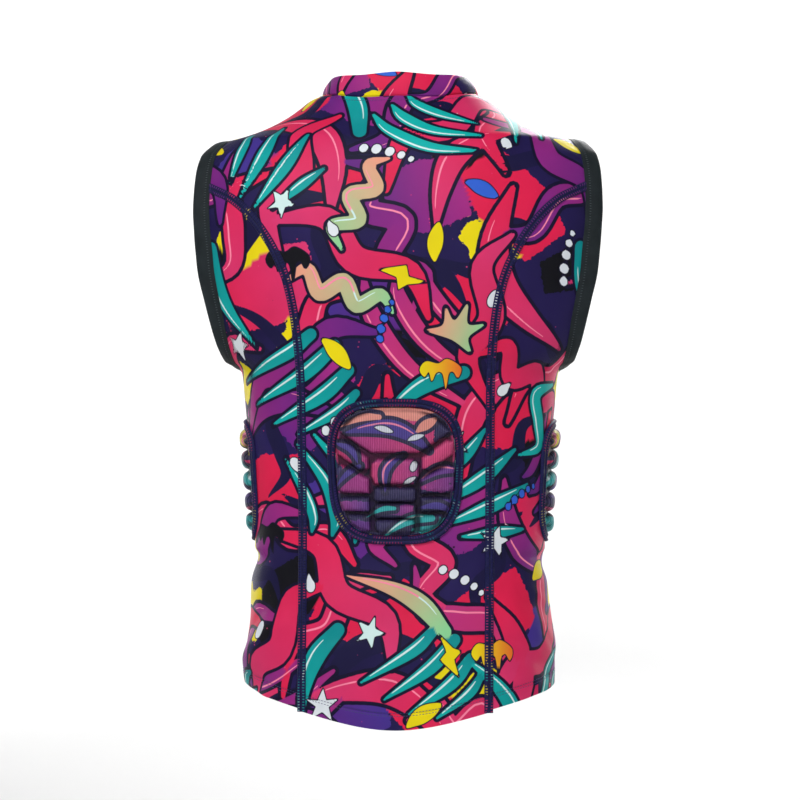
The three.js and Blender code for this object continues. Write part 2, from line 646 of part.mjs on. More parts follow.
// Places on the body for flat things: across and up are millimetres from the middle of the pad.
const onBack = (across, up, raise) => {
  const z = up - backPadDrop;
  return skin(new THREE.Vector3(across, depthAt(across, z, -1), z), raise, true).point;
};
const onChest = (across, up, raise) => {
  const z = up - chestPadDrop;
  return skin(new THREE.Vector3(-across, depthAt(across, z, 1), z), raise, true).point;
};
const ribRadius = (waistHalfWidth + waistFrontDepth) / 2;
const onRibs = (side) => (across, up, raise) => {
  const middle = THREE.MathUtils.degToRad(ribPadStartTurn) + ribPadLength / 2 / ribRadius;
  const z = up - ribPadDrop;
  return skin(turnedPoint(side * (middle + across / ribRadius), z), raise, true).point;
};

// A rounded outline of a pad, which narrows towards its foot. The corner power is 2 for an ellipse and
// more for a squarer one.
function padOutline(width, height, power, grow = 0) {
  return Array.from({ length: bandSteps }, (v, i) => {
    const t = (2 * Math.PI * (i + 0.5)) / bandSteps;
    const reach = (Math.abs(Math.cos(t)) ** power + Math.abs(Math.sin(t)) ** power) ** (-1 / power);
    const [x, y] = [reach * Math.cos(t), reach * Math.sin(t)];
    const taper = 1 - padTaper * (0.5 - 0.5 * y);
    return [((width / 2) * taper + grow) * x, (height / 2 + grow) * y];
  });
}

// The pad's own corners, moved inside its outline where they stand out of it.
function heldInside(corners, width, height, power, inset) {
  return corners.map(([x, y]) => {
    const taper = 1 - padTaper * (0.5 - y / height);
    const reach = Math.abs(x / (width / 2 * taper - inset)) ** power + Math.abs(y / (height / 2 - inset)) ** power;
    const share = Math.min(1, reach ** (-1 / power));
    return [x * share, y * share];
  });
}

// The blank of a pad's foam sheet, laid on the body inside an outline.
function padBase(outline, place) {
  const count = outline.length;
  const ring = (share, raise) => outline.map(([x, y]) => place(x * share, y * share, raise));
  const high = pieceGap + padBaseWall;
  const rings = [ring(0.5, -underPad), ring(1, -underPad), ring(1, high), ring(0.66, high), ring(0.33, high)];
  const [foot, top] = [place(0, 0, -underPad), place(0, 0, high)];
  const triangles = [];
  for (let k = 0; k < count; k += 1) {
    const m = (k + 1) % count;
    for (let i = 0; i + 1 < rings.length; i += 1)
      triangles.push(...quad(rings[i][k], rings[i][m], rings[i + 1][m], rings[i + 1][k]));
    triangles.push([rings[0][m], rings[0][k], foot]);
    triangles.push([rings[4][k], rings[4][m], top]);
  }
  return geometryOf(triangles);
}

// One foam block: straight sides from inside the base, a rounded shoulder and a slightly domed top.
function blockGeometry(outline, place) {
  const middle = outline.reduce((s, c) => [s[0] + c[0] / outline.length, s[1] + c[1] / outline.length], [0, 0]);
  const ring = (inset, raise) => outline.map(([x, y]) => {
    const length = Math.hypot(x - middle[0], y - middle[1]);
    const share = 1 - Math.min(inset / length, 0.6);
    return place(mix(middle[0], x, share), mix(middle[1], y, share), raise);
  });
  const rings = [
    ring(0, pieceGap + padBaseWall * 0.5),
    ring(0, blockHeight - blockEdge),
    ring(blockEdge, blockHeight),
  ];
  const triangles = [];
  const count = outline.length;
  const top = place(middle[0], middle[1], blockHeight + blockEdge * 0.2);
  const foot = place(middle[0], middle[1], pieceGap + padBaseWall * 0.5);
  for (let k = 0; k < count; k += 1) {
    const m = (k + 1) % count;
    for (let i = 0; i + 1 < rings.length; i += 1)
      triangles.push(...quad(rings[i][k], rings[i][m], rings[i + 1][m], rings[i + 1][k]));
    triangles.push([rings[2][k], rings[2][m], top]);
    triangles.push([rings[0][m], rings[0][k], foot]);
  }
  return geometryOf(triangles);
}

function solidOf(geometry) {
  const merged = mergeVertices(geometry, 1e-4);
  const mesh = new wasm.Mesh({
    numProp: 3,
    vertProperties: merged.attributes.position.array,
    triVerts: new Uint32Array(merged.index.array),
  });
  return new wasm.Manifold(mesh);
}

function geometryFrom(solid) {
  const mesh = solid.getMesh();
  const geometry = new THREE.BufferGeometry();
  geometry.setAttribute('position', new THREE.BufferAttribute(mesh.vertProperties, 3));
  geometry.setIndex(new THREE.BufferAttribute(mesh.triVerts, 1));
  return geometry;
}

// A pad: one foam sheet with its blocks standing on it, shaped to the cloth that it lies on.
function padGeometry(outline, blocks, place, cloth) {
  const solids = blocks.map((corners) => solidOf(blockGeometry(corners, place)));
  const whole = solids.reduce((sum, block) => sum.add(block), solidOf(padBase(outline, place)));
  return geometryFrom(whole.subtract(cloth));
}

// The covered seam that holds a pad down, a ring round the pad's outline.
function padBandGeometry(width, height, power, place, cloth) {
  const at = (share) => padOutline(width, height, power, padEdgeGap + padBandWidth * share);
  const [inner, crownIn, crownOut, outer] = [at(0), at(0.1), at(0.85), at(1)];
  const ring = sweptGeometry(inner.map((p, i) => [
    place(...inner[i], -underPad),
    place(...crownIn[i], pieceGap + padBandWall),
    place(...crownOut[i], pieceGap + padBandWall),
    place(...outer[i], -underPad),
  ]), true);
  return geometryFrom(solidOf(ring).subtract(cloth));
}

const backPower = 3.2;
const chestPower = 3.2;
const ribPower = 4.5;

function backBlocks() {
  const scaled = (corners, side) => corners.map(([x, y]) =>
    [(side * x * backPadWidth) / 2, (y * backPadHeight) / 2]);
  return BACK_BLOCKS.flatMap(({ middle, corners }) => {
    const right = scaled(corners, 1);
    const left = scaled(corners, -1).reverse();
    if (!middle) return [right, left];
    return [[...right, ...left.filter(([x]) => x < 0)]];
  });
}

// Where a square's point goes when the square is given a pad's rounded corners and its taper.
function roundedPoint(u, v, width, height, power) {
  const reach = Math.max(Math.abs(u), Math.abs(v));
  const corner = (Math.abs(u / reach) ** power + Math.abs(v / reach) ** power) ** (-1 / power);
  const share = reach === 0 ? 1 : mix(1, corner, reach ** 3);
  const taper = 1 - padTaper * (0.5 - 0.5 * v * share);
  return [(width / 2) * taper * u * share, (height / 2) * v * share];
}

// A pad that is moulded as one sheet in even rows and columns of blocks, with grooves between them.
function quiltedGeometry(width, height, power, rows, columns, place, cloth) {
  const lines = (count, size) => {
    const edge = (2 * blockEdge) / size;
    const step = 2 / count;
    const starts = Array.from({ length: count }, (v, i) => -1 + i * step);
    const marks = starts.flatMap((s) => [
      { at: s, high: 0 }, { at: s + edge, high: 1 }, { at: s + step - edge, high: 1 }]);
    return [...marks, { at: 1, high: 0 }];
  };
  const face = (raiseOf) => lines(rows, height).map((v) => lines(columns, width).map((u) =>
    place(...roundedPoint(u.at, v.at, width, height, power), raiseOf(u.high * v.high))));
  const low = pieceGap + padBaseWall;
  const sheet = sheetGeometry(face((high) => mix(low, blockHeight, high)), face(() => -underPad));
  return geometryFrom(solidOf(sheet).subtract(cloth));
}

// Colours
const printCloth = { color: 0x3a2a66, roughness: 0.55, metalness: 0 };
const seamThread = { color: 0x1c1b50, roughness: 0.7, metalness: 0 };
const bindingElastic = { color: 0x20262b, roughness: 0.8, metalness: 0 };
const padCover = { color: 0xa8357c, roughness: 0.6, metalness: 0 };

const shirt = new THREE.Group();
function addPiece(name, geometry, look) {
  const mesh = new THREE.Mesh(geometry, new THREE.MeshStandardMaterial(look));
  geometry.computeVertexNormals();
  mesh.name = name;
  shirt.add(mesh);
}

// A panel drawn in from its neighbours, and the room below its raised outer face, which shapes a pad.
const panelGeometry = (grid) => layerGeometry(skinsOf(drawnIn(grid, pieceGap / 2)), 0, wall);
const clothUnder = (grid) => solidOf(layerGeometry(skinsOf(grid), padGap, underPad * 4));

const back = bodyPanel(-1);
const front = bodyPanel(1);
const backCloth = clothUnder(back);
const frontCloth = clothUnder(front);
addPiece('back_panel', panelGeometry(back), printCloth);
addPiece('front_panel', panelGeometry(front), printCloth);
addPiece('collar', collarGeometry(), printCloth);
for (const [hand, side] of [['left', -1], ['right', 1]]) {
  const flank = sidePanel(side);
  const cloth = clothUnder(flank);
  const place = onRibs(side);
  const size = [ribPadLength, ribPadHeight, ribPower];
  addPiece(`side_panel_${hand}`, panelGeometry(flank), printCloth);
  addPiece(`armhole_binding_${hand}`, bindingGeometry(side), bindingElastic);
  addPiece(`back_seam_${hand}`, seamBandGeometry(back, flank, side, -1), seamThread);
  addPiece(`front_seam_${hand}`, seamBandGeometry(front, flank, side, 1), seamThread);
  addPiece(`rib_pad_${hand}`, quiltedGeometry(...size, ribPadRows, ribPadColumns, place, cloth), padCover);
  addPiece(`rib_pad_edge_${hand}`, padBandGeometry(...size, place, cloth), seamThread);
}

const spineOutline = padOutline(backPadWidth, backPadHeight, backPower);
const spineBlocks = backBlocks().map((corners) =>
  heldInside(corners, backPadWidth, backPadHeight, backPower, 2));
addPiece('back_pad', padGeometry(spineOutline, spineBlocks, onBack, backCloth), padCover);
const spineEdge = padBandGeometry(backPadWidth, backPadHeight, backPower, onBack, backCloth);
addPiece('back_pad_edge', spineEdge, seamThread);

const chest = [chestPadWidth, chestPadHeight, chestPower];
const chestQuilt = quiltedGeometry(...chest, chestPadRows, chestPadColumns, onChest, frontCloth);
addPiece('chest_pad', chestQuilt, padCover);
addPiece('chest_pad_edge', padBandGeometry(...chest, onChest, frontCloth), seamThread);

export default shirt;
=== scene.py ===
import bpy
import numpy as np
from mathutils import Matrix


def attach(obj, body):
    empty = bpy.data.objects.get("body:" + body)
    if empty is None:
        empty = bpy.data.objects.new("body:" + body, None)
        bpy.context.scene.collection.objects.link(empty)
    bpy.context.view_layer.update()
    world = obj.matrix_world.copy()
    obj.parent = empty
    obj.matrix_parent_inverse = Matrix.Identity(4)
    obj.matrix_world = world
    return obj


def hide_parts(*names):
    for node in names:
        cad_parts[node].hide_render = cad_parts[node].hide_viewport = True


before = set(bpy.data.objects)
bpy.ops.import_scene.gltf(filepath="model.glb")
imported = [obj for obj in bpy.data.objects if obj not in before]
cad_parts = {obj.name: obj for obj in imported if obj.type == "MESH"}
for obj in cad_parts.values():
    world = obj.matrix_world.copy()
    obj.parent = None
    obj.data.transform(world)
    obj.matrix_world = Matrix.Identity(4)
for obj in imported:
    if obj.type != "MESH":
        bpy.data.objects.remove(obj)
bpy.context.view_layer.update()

MM = 0.001


# Back panel
# The middle of the shirt's back, one piece of printed two-way stretch knit with a brushed pale inside.
# It is cut between the two princess seams, the armholes, the shoulders and the neck, and its foot is
# turned up and stitched as a hem.

BODY_LENGTH = 617
HEM_RISE = 33
FRONT_HEM_DROP = 20
NECK_HALF_WIDTH = 79
SHOULDER_HALF_WIDTH = 172.5
SHOULDER_DROP = 46
ARMPIT_DROP = 271
ARM_HALF_WIDTH = 218
CHEST = dict(width=157.5, back=110, front=116)
WAIST = dict(width=144.5, back=86, front=94)
HEM = dict(width=154.5, back=106, front=102)
WALL = 1.4
PIECE_GAP = 0.3
NECK_HOLE = dict(half_width=78, half_depth=72, forward=12, power=2.5)
ARMHOLE_HALF_WIDTH = 184.7
SEAM_HALF_DISTANCE = 90
SEAM_JOIN_DROP = 95
SEAM_BAND_WIDTH = 9
FOLD_HEIGHT = 5

# The form of the shirt, level by level: zone, share of the zone's height, then width, back and front
# as shares of that zone's sizes, and the power of the section's outline.
SECTIONS = [
    ("yoke", -0.25, -0.2, 0.4, 0.27, 2.0), ("yoke", 0.0, 0.0, 0.51, 0.4, 2.0),
    ("yoke", 0.11, 0.123, 0.54, 0.44, 2.0), ("yoke", 0.24, 0.203, 0.57, 0.48, 2.02),
    ("yoke", 0.5, 0.385, 0.64, 0.57, 2.05), ("yoke", 0.76, 0.642, 0.7, 0.64, 2.1),
    ("yoke", 0.9, 0.84, 0.74, 0.68, 2.15), ("yoke", 1.0, 1.0, 0.77, 0.7, 2.2),
    ("arm", 0.036, 0.471, 0.81, 0.74, 2.2), ("arm", 0.071, 0.653, 0.84, 0.77, 2.2),
    ("arm", 0.133, 0.818, 0.885, 0.83, 2.2), ("arm", 0.22, 0.926, 0.935, 0.89, 2.2),
    ("arm", 0.35, 1.0, 0.985, 0.95, 2.2), ("arm", 0.507, 0.957, 1.0, 0.985, 2.2),
    ("arm", 0.66, 0.835, 0.99, 1.0, 2.2), ("arm", 0.8, 0.625, 0.965, 0.995, 2.2),
    ("arm", 0.884, 0.438, 0.945, 0.985, 2.25), ("arm", 0.942, 0.281, 0.93, 0.975, 2.3),
    ("arm", 0.978, 0.149, 0.92, 0.97, 2.3), ("arm", 1.0, 0.045, 0.915, 0.965, 2.3),
    ("trunk", 0.02, 0.0, 0.42, 0.2, 2.3), ("trunk", 0.107, 0.23, 0.62, 0.4, 2.35),
    ("trunk", 0.194, 0.46, 0.78, 0.6, 2.4), ("trunk", 0.344, 0.81, 0.96, 0.85, 2.5),
    ("trunk", 0.43, 0.97, 1.0, 0.95, 2.5), ("trunk", 0.5, 1.0, 1.04, 1.0, 2.5),
    ("trunk", 0.627, 1.3, 1.3, 1.2, 2.45), ("trunk", 0.714, 1.45, 1.55, 1.45, 2.4),
    ("trunk", 0.8, 1.8, 1.8, 1.7, 2.4), ("trunk", 0.905, 2.0, 2.0, 1.95, 2.4),
    ("trunk", 1.0, 1.85, 2.05, 2.0, 2.4),
]

# The armhole's edge: share of the arm zone's height, width, and the binding's reach past it.
ARMHOLE = [
    (-0.036, 0.165, 1.0), (-0.009, 0.386, 1.0), (0.018, 0.57, 1.0), (0.071, 0.83, 1.0),
    (0.164, 0.955, 1.0), (0.298, 1.0, 1.0), (0.387, 0.963, 1.0), (0.48, 0.882, 1.04),
    (0.578, 0.81, 1.03), (0.702, 0.636, 0.95), (0.796, 0.485, 0.92), (0.858, 0.408, 0.86),
    (0.92, 0.312, 0.8), (0.973, 0.2, 0.75), (1.0, 0.06, 0.75), (1.03, 0.05, 0.75),
]

# A princess seam on its way down from the armhole: share of the way, and how far out it lies.
PRINCESS = [
    (0.0, 1.0), (0.027, 0.72), (0.077, 0.45), (0.135, 0.255), (0.19, 0.14), (0.255, 0.07),
    (0.33, 0.03), (0.4, 0.015), (1.0, 0.0),
]

# Folds: side, turn from the centre back in degrees, drop as a share of the length, slope in degrees,
# length and width as shares of the length, and height as a share of the fold height.
FOLDS = [
    (-1, 66, 0.87, 38, 0.085, 0.024, 1.0), (-1, 64, 0.93, 34, 0.07, 0.022, -0.8),
    (-1, 88, 0.745, 8, 0.09, 0.022, -0.9), (-1, 96, 0.82, 74, 0.08, 0.024, 0.6),
    (1, 84, 0.75, -10, 0.09, 0.02, -0.9), (1, 66, 0.84, -30, 0.08, 0.022, 0.7),
    (1, 68, 0.9, -36, 0.08, 0.022, -0.6), (1, 92, 0.86, 62, 0.07, 0.022, 0.5),
    (-1, 150, 0.8, 24, 0.1, 0.026, 0.6), (1, 150, 0.83, -24, 0.1, 0.026, 0.6),
    (-1, 24, 0.8, 14, 0.1, 0.026, 0.45), (1, 20, 0.9, -12, 0.1, 0.026, 0.4),
]

# Smaller wrinkles on top of the folds, in the same columns.
WRINKLES = [
    (-1, 58, 0.9, 40, 0.05, 0.009, 0.3), (-1, 60, 0.955, 30, 0.05, 0.008, 0.3),
    (-1, 72, 0.84, 48, 0.045, 0.009, -0.26), (-1, 78, 0.9, 36, 0.045, 0.009, 0.28),
    (-1, 50, 0.84, 24, 0.05, 0.008, 0.16), (-1, 82, 0.95, 20, 0.05, 0.009, -0.22),
    (1, 60, 0.87, -30, 0.05, 0.008, 0.3), (1, 72, 0.8, -26, 0.045, 0.009, 0.26),
    (1, 56, 0.94, -24, 0.05, 0.009, -0.24), (1, 80, 0.88, -42, 0.05, 0.008, -0.22),
    (1, 44, 0.8, -20, 0.06, 0.009, 0.16), (-1, 30, 0.86, 12, 0.07, 0.01, -0.14),
    (1, 8, 0.84, 4, 0.08, 0.01, 0.14), (-1, 12, 0.94, 6, 0.08, 0.01, 0.14),
    (1, 30, 0.95, -8, 0.07, 0.009, 0.16), (-1, 70, 0.52, 60, 0.05, 0.009, -0.2),
    (1, 72, 0.51, -58, 0.05, 0.009, -0.2), (-1, 62, 0.56, 68, 0.05, 0.01, 0.16),
    (1, 62, 0.57, -66, 0.05, 0.01, 0.16), (-1, 18, 0.52, 70, 0.05, 0.012, 0.12),
    (1, 22, 0.53, -72, 0.05, 0.012, 0.12), (-1, 120, 0.88, 30, 0.06, 0.01, 0.24),
    (1, 118, 0.9, -30, 0.06, 0.01, 0.24), (-1, 160, 0.88, 8, 0.08, 0.011, 0.2),
    (1, 165, 0.76, -6, 0.08, 0.011, -0.16), (1, 150, 0.93, -12, 0.08, 0.01, 0.2),
]


def curve_through(points):
    x, y = np.array(sorted(points), float).T
    rise = np.diff(y) / np.diff(x)
    product, total = rise[1:] * rise[:-1], rise[1:] + rise[:-1]
    middle = np.where(product > 0, 2 * product / np.where(total == 0, 1, total), 0)
    slope = np.concatenate([rise[:1], middle, rise[-1:]])

    def at(value):
        value = np.asarray(value, float)
        i = np.clip(np.searchsorted(x, value, side="right") - 1, 0, len(x) - 2)
        span = x[i + 1] - x[i]
        t = (value - x[i]) / span
        s = 1 - t
        within = (y[i] * s * s * (1 + 2 * t) + y[i + 1] * t * t * (1 + 2 * s)
                  + span * s * t * (slope[i] * s - slope[i + 1] * t))
        low, high = y[0] + slope[0] * (value - x[0]), y[-1] + slope[-1] * (value - x[-1])
        return np.where(value <= x[0], low, np.where(value >= x[-1], high, within))

    return at


def mix(a, b, share):
    return a + (b - a) * share


def through_three(key, at):
    a, b, c = CHEST[key], WAIST[key], HEM[key]
    return mix(a, b, at) if at < 1 else mix(b, c, at - 1)


def arm_level(along):
    return -mix(SHOULDER_DROP, ARMPIT_DROP, along)


def section_sizes(row):
    zone, along, width, back, front, power = row
    if zone == "trunk":
        return (-mix(ARMPIT_DROP, BODY_LENGTH, along), through_three("width", width),
                through_three("back", back), through_three("front", front), power)
    if zone == "yoke":
        level, half = -SHOULDER_DROP * along, mix(NECK_HALF_WIDTH, SHOULDER_HALF_WIDTH, width)
    else:
        level, half = arm_level(along), mix(CHEST["width"], ARM_HALF_WIDTH, width)
    return level, half, CHEST["back"] * back, CHEST["front"] * front, power


levels = [section_sizes(row) for row in SECTIONS]
form_width, form_back, form_front, form_power = (
    curve_through([(s[0], s[k]) for s in levels]) for k in (1, 2, 3, 4))


def outside(p):
    n = form_power(p[..., 2])
    depth = np.where(p[..., 1] < 0, form_back(p[..., 2]), form_front(p[..., 2]))
    reach = (np.abs(p[..., 0]) / form_width(p[..., 2])) ** n + (np.abs(p[..., 1]) / depth) ** n
    return reach ** (1 / n) - 1


def way_out(p):
    h = 0.01
    steps = np.eye(3) * h
    return np.stack([outside(p + s) - outside(p - s) for s in steps], -1) / (2 * h)


def onto_form(p, rounds=7):
    p = np.array(p, float)
    for _ in range(rounds):
        g = way_out(p)
        p -= g * (outside(p) / (g * g).sum(-1))[..., None]
    g = way_out(p)
    return p, g / np.linalg.norm(g, axis=-1, keepdims=True)


def depth_at(x, z, side):
    n = form_power(z)
    left = 1 - (np.abs(x) / form_width(z)) ** n
    depth = np.where(np.asarray(side) < 0, form_back(z), form_front(z))
    return side * depth * np.maximum(left, 0) ** (1 / n)


def turned_point(turn, z):
    turn, z = np.broadcast_arrays(np.asarray(turn, float), np.asarray(z, float))
    n, s, c = form_power(z), np.sin(turn), -np.cos(turn)
    depth = np.where(c < 0, form_back(z), form_front(z))
    r = ((np.abs(s) / form_width(z)) ** n + (np.abs(c) / depth) ** n) ** (-1 / n)
    return np.stack([r * s, r * c, z], -1)


def turn_of(p):
    return np.arctan2(p[..., 0], -p[..., 1])


def crossing(of, low, high):
    a, b = (np.array(v, float) for v in np.broadcast_arrays(low, high))
    rising = of(b) > of(a)
    for _ in range(50):
        m = (a + b) / 2
        past = (of(m) > 0) == rising
        a, b = np.where(past, a, m), np.where(past, m, b)
    return (a + b) / 2


cloth_edge = curve_through(
    [(arm_level(along), mix(CHEST["width"], ARMHOLE_HALF_WIDTH, width)) for along, width, _ in ARMHOLE])
arm_top = crossing(lambda z: form_width(z) - cloth_edge(z), arm_level(0.5), arm_level(-0.09))
arm_bottom = crossing(lambda z: form_width(z) - cloth_edge(z), arm_level(1.08), arm_level(0.5))
arm_middle, arm_depth = (arm_top + arm_bottom) / 2, (arm_top - arm_bottom) / 2
join_turn = np.arccos((-SEAM_JOIN_DROP - arm_middle) / arm_depth)


def armhole(turn, side):
    turn = np.asarray(turn, float)
    z = arm_middle + arm_depth * np.cos(turn)
    s = np.sin(turn)
    y = np.where(np.abs(s) < 1e-9, 0, depth_at(cloth_edge(z), z, np.where(s > 0, -1, 1)))
    return np.stack([side * cloth_edge(z), y, z], -1)


def hem_level(turn):
    c = np.cos(turn)
    return -(BODY_LENGTH - HEM_RISE) - np.where(c > 0, HEM_RISE, FRONT_HEM_DROP) * c * c


seam_out = curve_through(PRINCESS)
join_width = cloth_edge(-SEAM_JOIN_DROP)


def princess_seam(side, face, share):
    turn = np.arctan2(SEAM_HALF_DISTANCE, HEM["back"] if face < 0 else HEM["front"])
    foot = hem_level(turn if face < 0 else np.pi - turn)
    z = mix(foot, -SEAM_JOIN_DROP, np.asarray(share, float))
    x = mix(SEAM_HALF_DISTANCE, join_width, seam_out(1 - share))
    return np.stack([side * x, depth_at(x, z, face), z], -1)


def neck_reach(turn):
    power = NECK_HOLE["power"]
    return (np.abs(np.cos(turn)) ** power + np.abs(np.sin(turn)) ** power) ** (-1 / power)


def neck_forward(turn):
    return NECK_HOLE["forward"] - NECK_HOLE["half_depth"] * neck_reach(turn) * np.cos(turn)


neck_side_turn = crossing(neck_forward, 0, np.pi)


def neck_edge(turn):
    x = NECK_HOLE["half_width"] * neck_reach(turn) * np.sin(turn)
    y = neck_forward(turn)
    z = crossing(lambda h: outside(np.stack([x, y, h], -1)), np.full_like(x, arm_level(0.3)),
                 np.full_like(x, SHOULDER_DROP * 0.25))
    return np.stack([x, y, z], -1)


def smooth(value, low, high):
    t = np.clip((value - low) / (high - low), 0, 1)
    return t * t * (3 - 2 * t)


RIB_PAD_DROP, RIB_PAD_HEIGHT = 383, 106


def folds_at(p, rows=FOLDS + WRINKLES):
    turn = np.degrees(turn_of(p))
    z = p[..., 2]
    arm_fade = smooth(-z, ARMPIT_DROP, ARMPIT_DROP * 1.12)
    to_seam = np.abs(np.abs(p[..., 0]) - SEAM_HALF_DISTANCE)
    seam_fade = smooth(to_seam, SEAM_BAND_WIDTH * 0.6, 14 + SEAM_BAND_WIDTH)
    pad_fade = 1 - smooth(RIB_PAD_DROP + RIB_PAD_HEIGHT * 0.62 + z, -7, 0)
    per_degree = np.radians((form_width(z) + form_back(z)) / 2)
    total = np.zeros_like(z)
    for side, at, drop, slope, length, width, height in rows:
        across, up = (turn - side * at) * per_degree, z + drop * BODY_LENGTH
        c, s = np.cos(np.radians(slope)), np.sin(np.radians(slope))
        along, off = across * c + up * s, up * c - across * s
        total += height * FOLD_HEIGHT * np.exp(
            -(along / (length * BODY_LENGTH)) ** 2 - (off / (width * BODY_LENGTH)) ** 2)
    return total * seam_fade * pad_fade * arm_fade


def skin(p, lift=0.0, still=False):
    point, out = onto_form(p)
    lift = lift + (0 if still else folds_at(point))
    return point + out * np.asarray(lift)[..., None], out


def patch_between(foot, top, left, right, s, t):
    s, t = s[None, :, None], t[:, None, None]
    foot, top, left, right = foot[None], top[None], left[:, None], right[:, None]
    return (foot * (1 - t) + top * t + left * (1 - s) + right * s
            - foot[:, :1] * (1 - s) * (1 - t) - foot[:, -1:] * s * (1 - t)
            - top[:, :1] * (1 - s) * t - top[:, -1:] * s * t)


# Rows of a body panel: close together in the hem, even up the seam, and on along the armhole.
HEM_DEPTH = 13
HEM_ROWS, SEAM_ROWS, ARM_ROWS = 20, 188, 46
SHOULDER_COLUMNS, NECK_COLUMNS = 26, 90
hem_share = 18 / (BODY_LENGTH - SEAM_JOIN_DROP)
seam_shares = np.concatenate([np.linspace(0, hem_share, HEM_ROWS, endpoint=False),
                              np.linspace(hem_share, 1, SEAM_ROWS + 1)])


def body_panel(face):
    rising = np.linspace(join_turn, 0, ARM_ROWS + 1)[1:]
    t = np.concatenate([14 * seam_shares ** (1 / 0.82), 14 + 4 * np.arange(1, ARM_ROWS + 1) / ARM_ROWS]) / 18
    left, right = (np.concatenate([princess_seam(side, face, seam_shares),
                                   armhole(rising if face < 0 else -rising, side)]) for side in (-1, 1))
    if face < 0:
        turns = np.linspace(-neck_side_turn, neck_side_turn, NECK_COLUMNS + 1)
    else:
        turns = np.linspace(-neck_side_turn, neck_side_turn - 2 * np.pi, NECK_COLUMNS + 1)
    shares = np.arange(SHOULDER_COLUMNS) / SHOULDER_COLUMNS
    tip, foot_x = armhole(0.0, 1)[0], neck_edge(neck_side_turn)[0]
    x = mix(tip, foot_x, shares)
    z = crossing(lambda h: x - form_width(h), np.full_like(x, arm_level(0.3)),
                 np.full_like(x, SHOULDER_DROP * 0.2))
    shoulder = np.stack([x, 0 * x, z], -1)
    top = np.concatenate([shoulder * (-1, 1, 1), neck_edge(turns), shoulder[::-1]])
    s = np.concatenate([3 * shares, 3 + 10 * np.linspace(0, 1, NECK_COLUMNS + 1),
                        13 + 3 * (shares + 1 / SHOULDER_COLUMNS)]) / 16
    a, b = turn_of(left[0]), turn_of(right[0])
    around = mix(a, b if face < 0 else b - 2 * np.pi, s)
    foot = turned_point(around, hem_level(around))
    return patch_between(foot, top, left, right, s, t)


def drawn_in(grid, by=PIECE_GAP / 2):
    grid = grid.copy()
    for edge, inner in ((0, 1), (-1, -2)):
        for g in (grid, grid.swapaxes(0, 1)):
            way = g[inner] - g[edge]
            g[edge] += by * way / np.linalg.norm(way, axis=-1, keepdims=True)
    return grid


# The cloth as it was printed, lying flat: along the body from its middle line, and up from the waist.
across_turns = np.radians(np.arange(0, 181, 1.0))
across_levels = np.arange(-640.0, 31, 5)
sections = turned_point(across_turns[None], across_levels[:, None])
across_way = np.zeros(sections.shape[:2])
across_way[:, 1:] = np.cumsum(np.linalg.norm(np.diff(sections, axis=1), axis=-1), axis=1)
UPPER_STEP = 2.0
upper_x, upper_z = np.arange(0, 200, 2 * UPPER_STEP), np.arange(-150, 21, UPPER_STEP)


def between_rows(table, rows, cols, r, c):
    i = np.clip(np.searchsorted(rows, r, side="right") - 1, 0, len(rows) - 2)
    j = np.clip(np.searchsorted(cols, c, side="right") - 1, 0, len(cols) - 2)
    a = np.clip((r - rows[i]) / (rows[i + 1] - rows[i]), 0, 1)
    b = np.clip((c - cols[j]) / (cols[j + 1] - cols[j]), 0, 1)
    return mix(mix(table[i, j], table[i + 1, j], a), mix(table[i, j + 1], table[i + 1, j + 1], a), b)


def flat_place(p, face):
    turn = turn_of(p)
    if face > 0:
        turn = np.sign(turn) * (np.pi - np.abs(turn))
        way = across_way[:, -1:] - across_way[:, ::-1]
    else:
        way = across_way
    u = np.sign(turn) * between_rows(way, across_levels, across_turns, p[..., 2], np.abs(turn))
    depths = depth_at(upper_x[None], upper_z[:, None], face)
    climb = np.zeros_like(depths)
    climb[1:] = np.cumsum(np.hypot(np.diff(depths, axis=0), UPPER_STEP) - UPPER_STEP, axis=0)
    v = p[..., 2] + between_rows(climb, upper_z, upper_x, p[..., 2], np.abs(p[..., 0]))
    return u, v


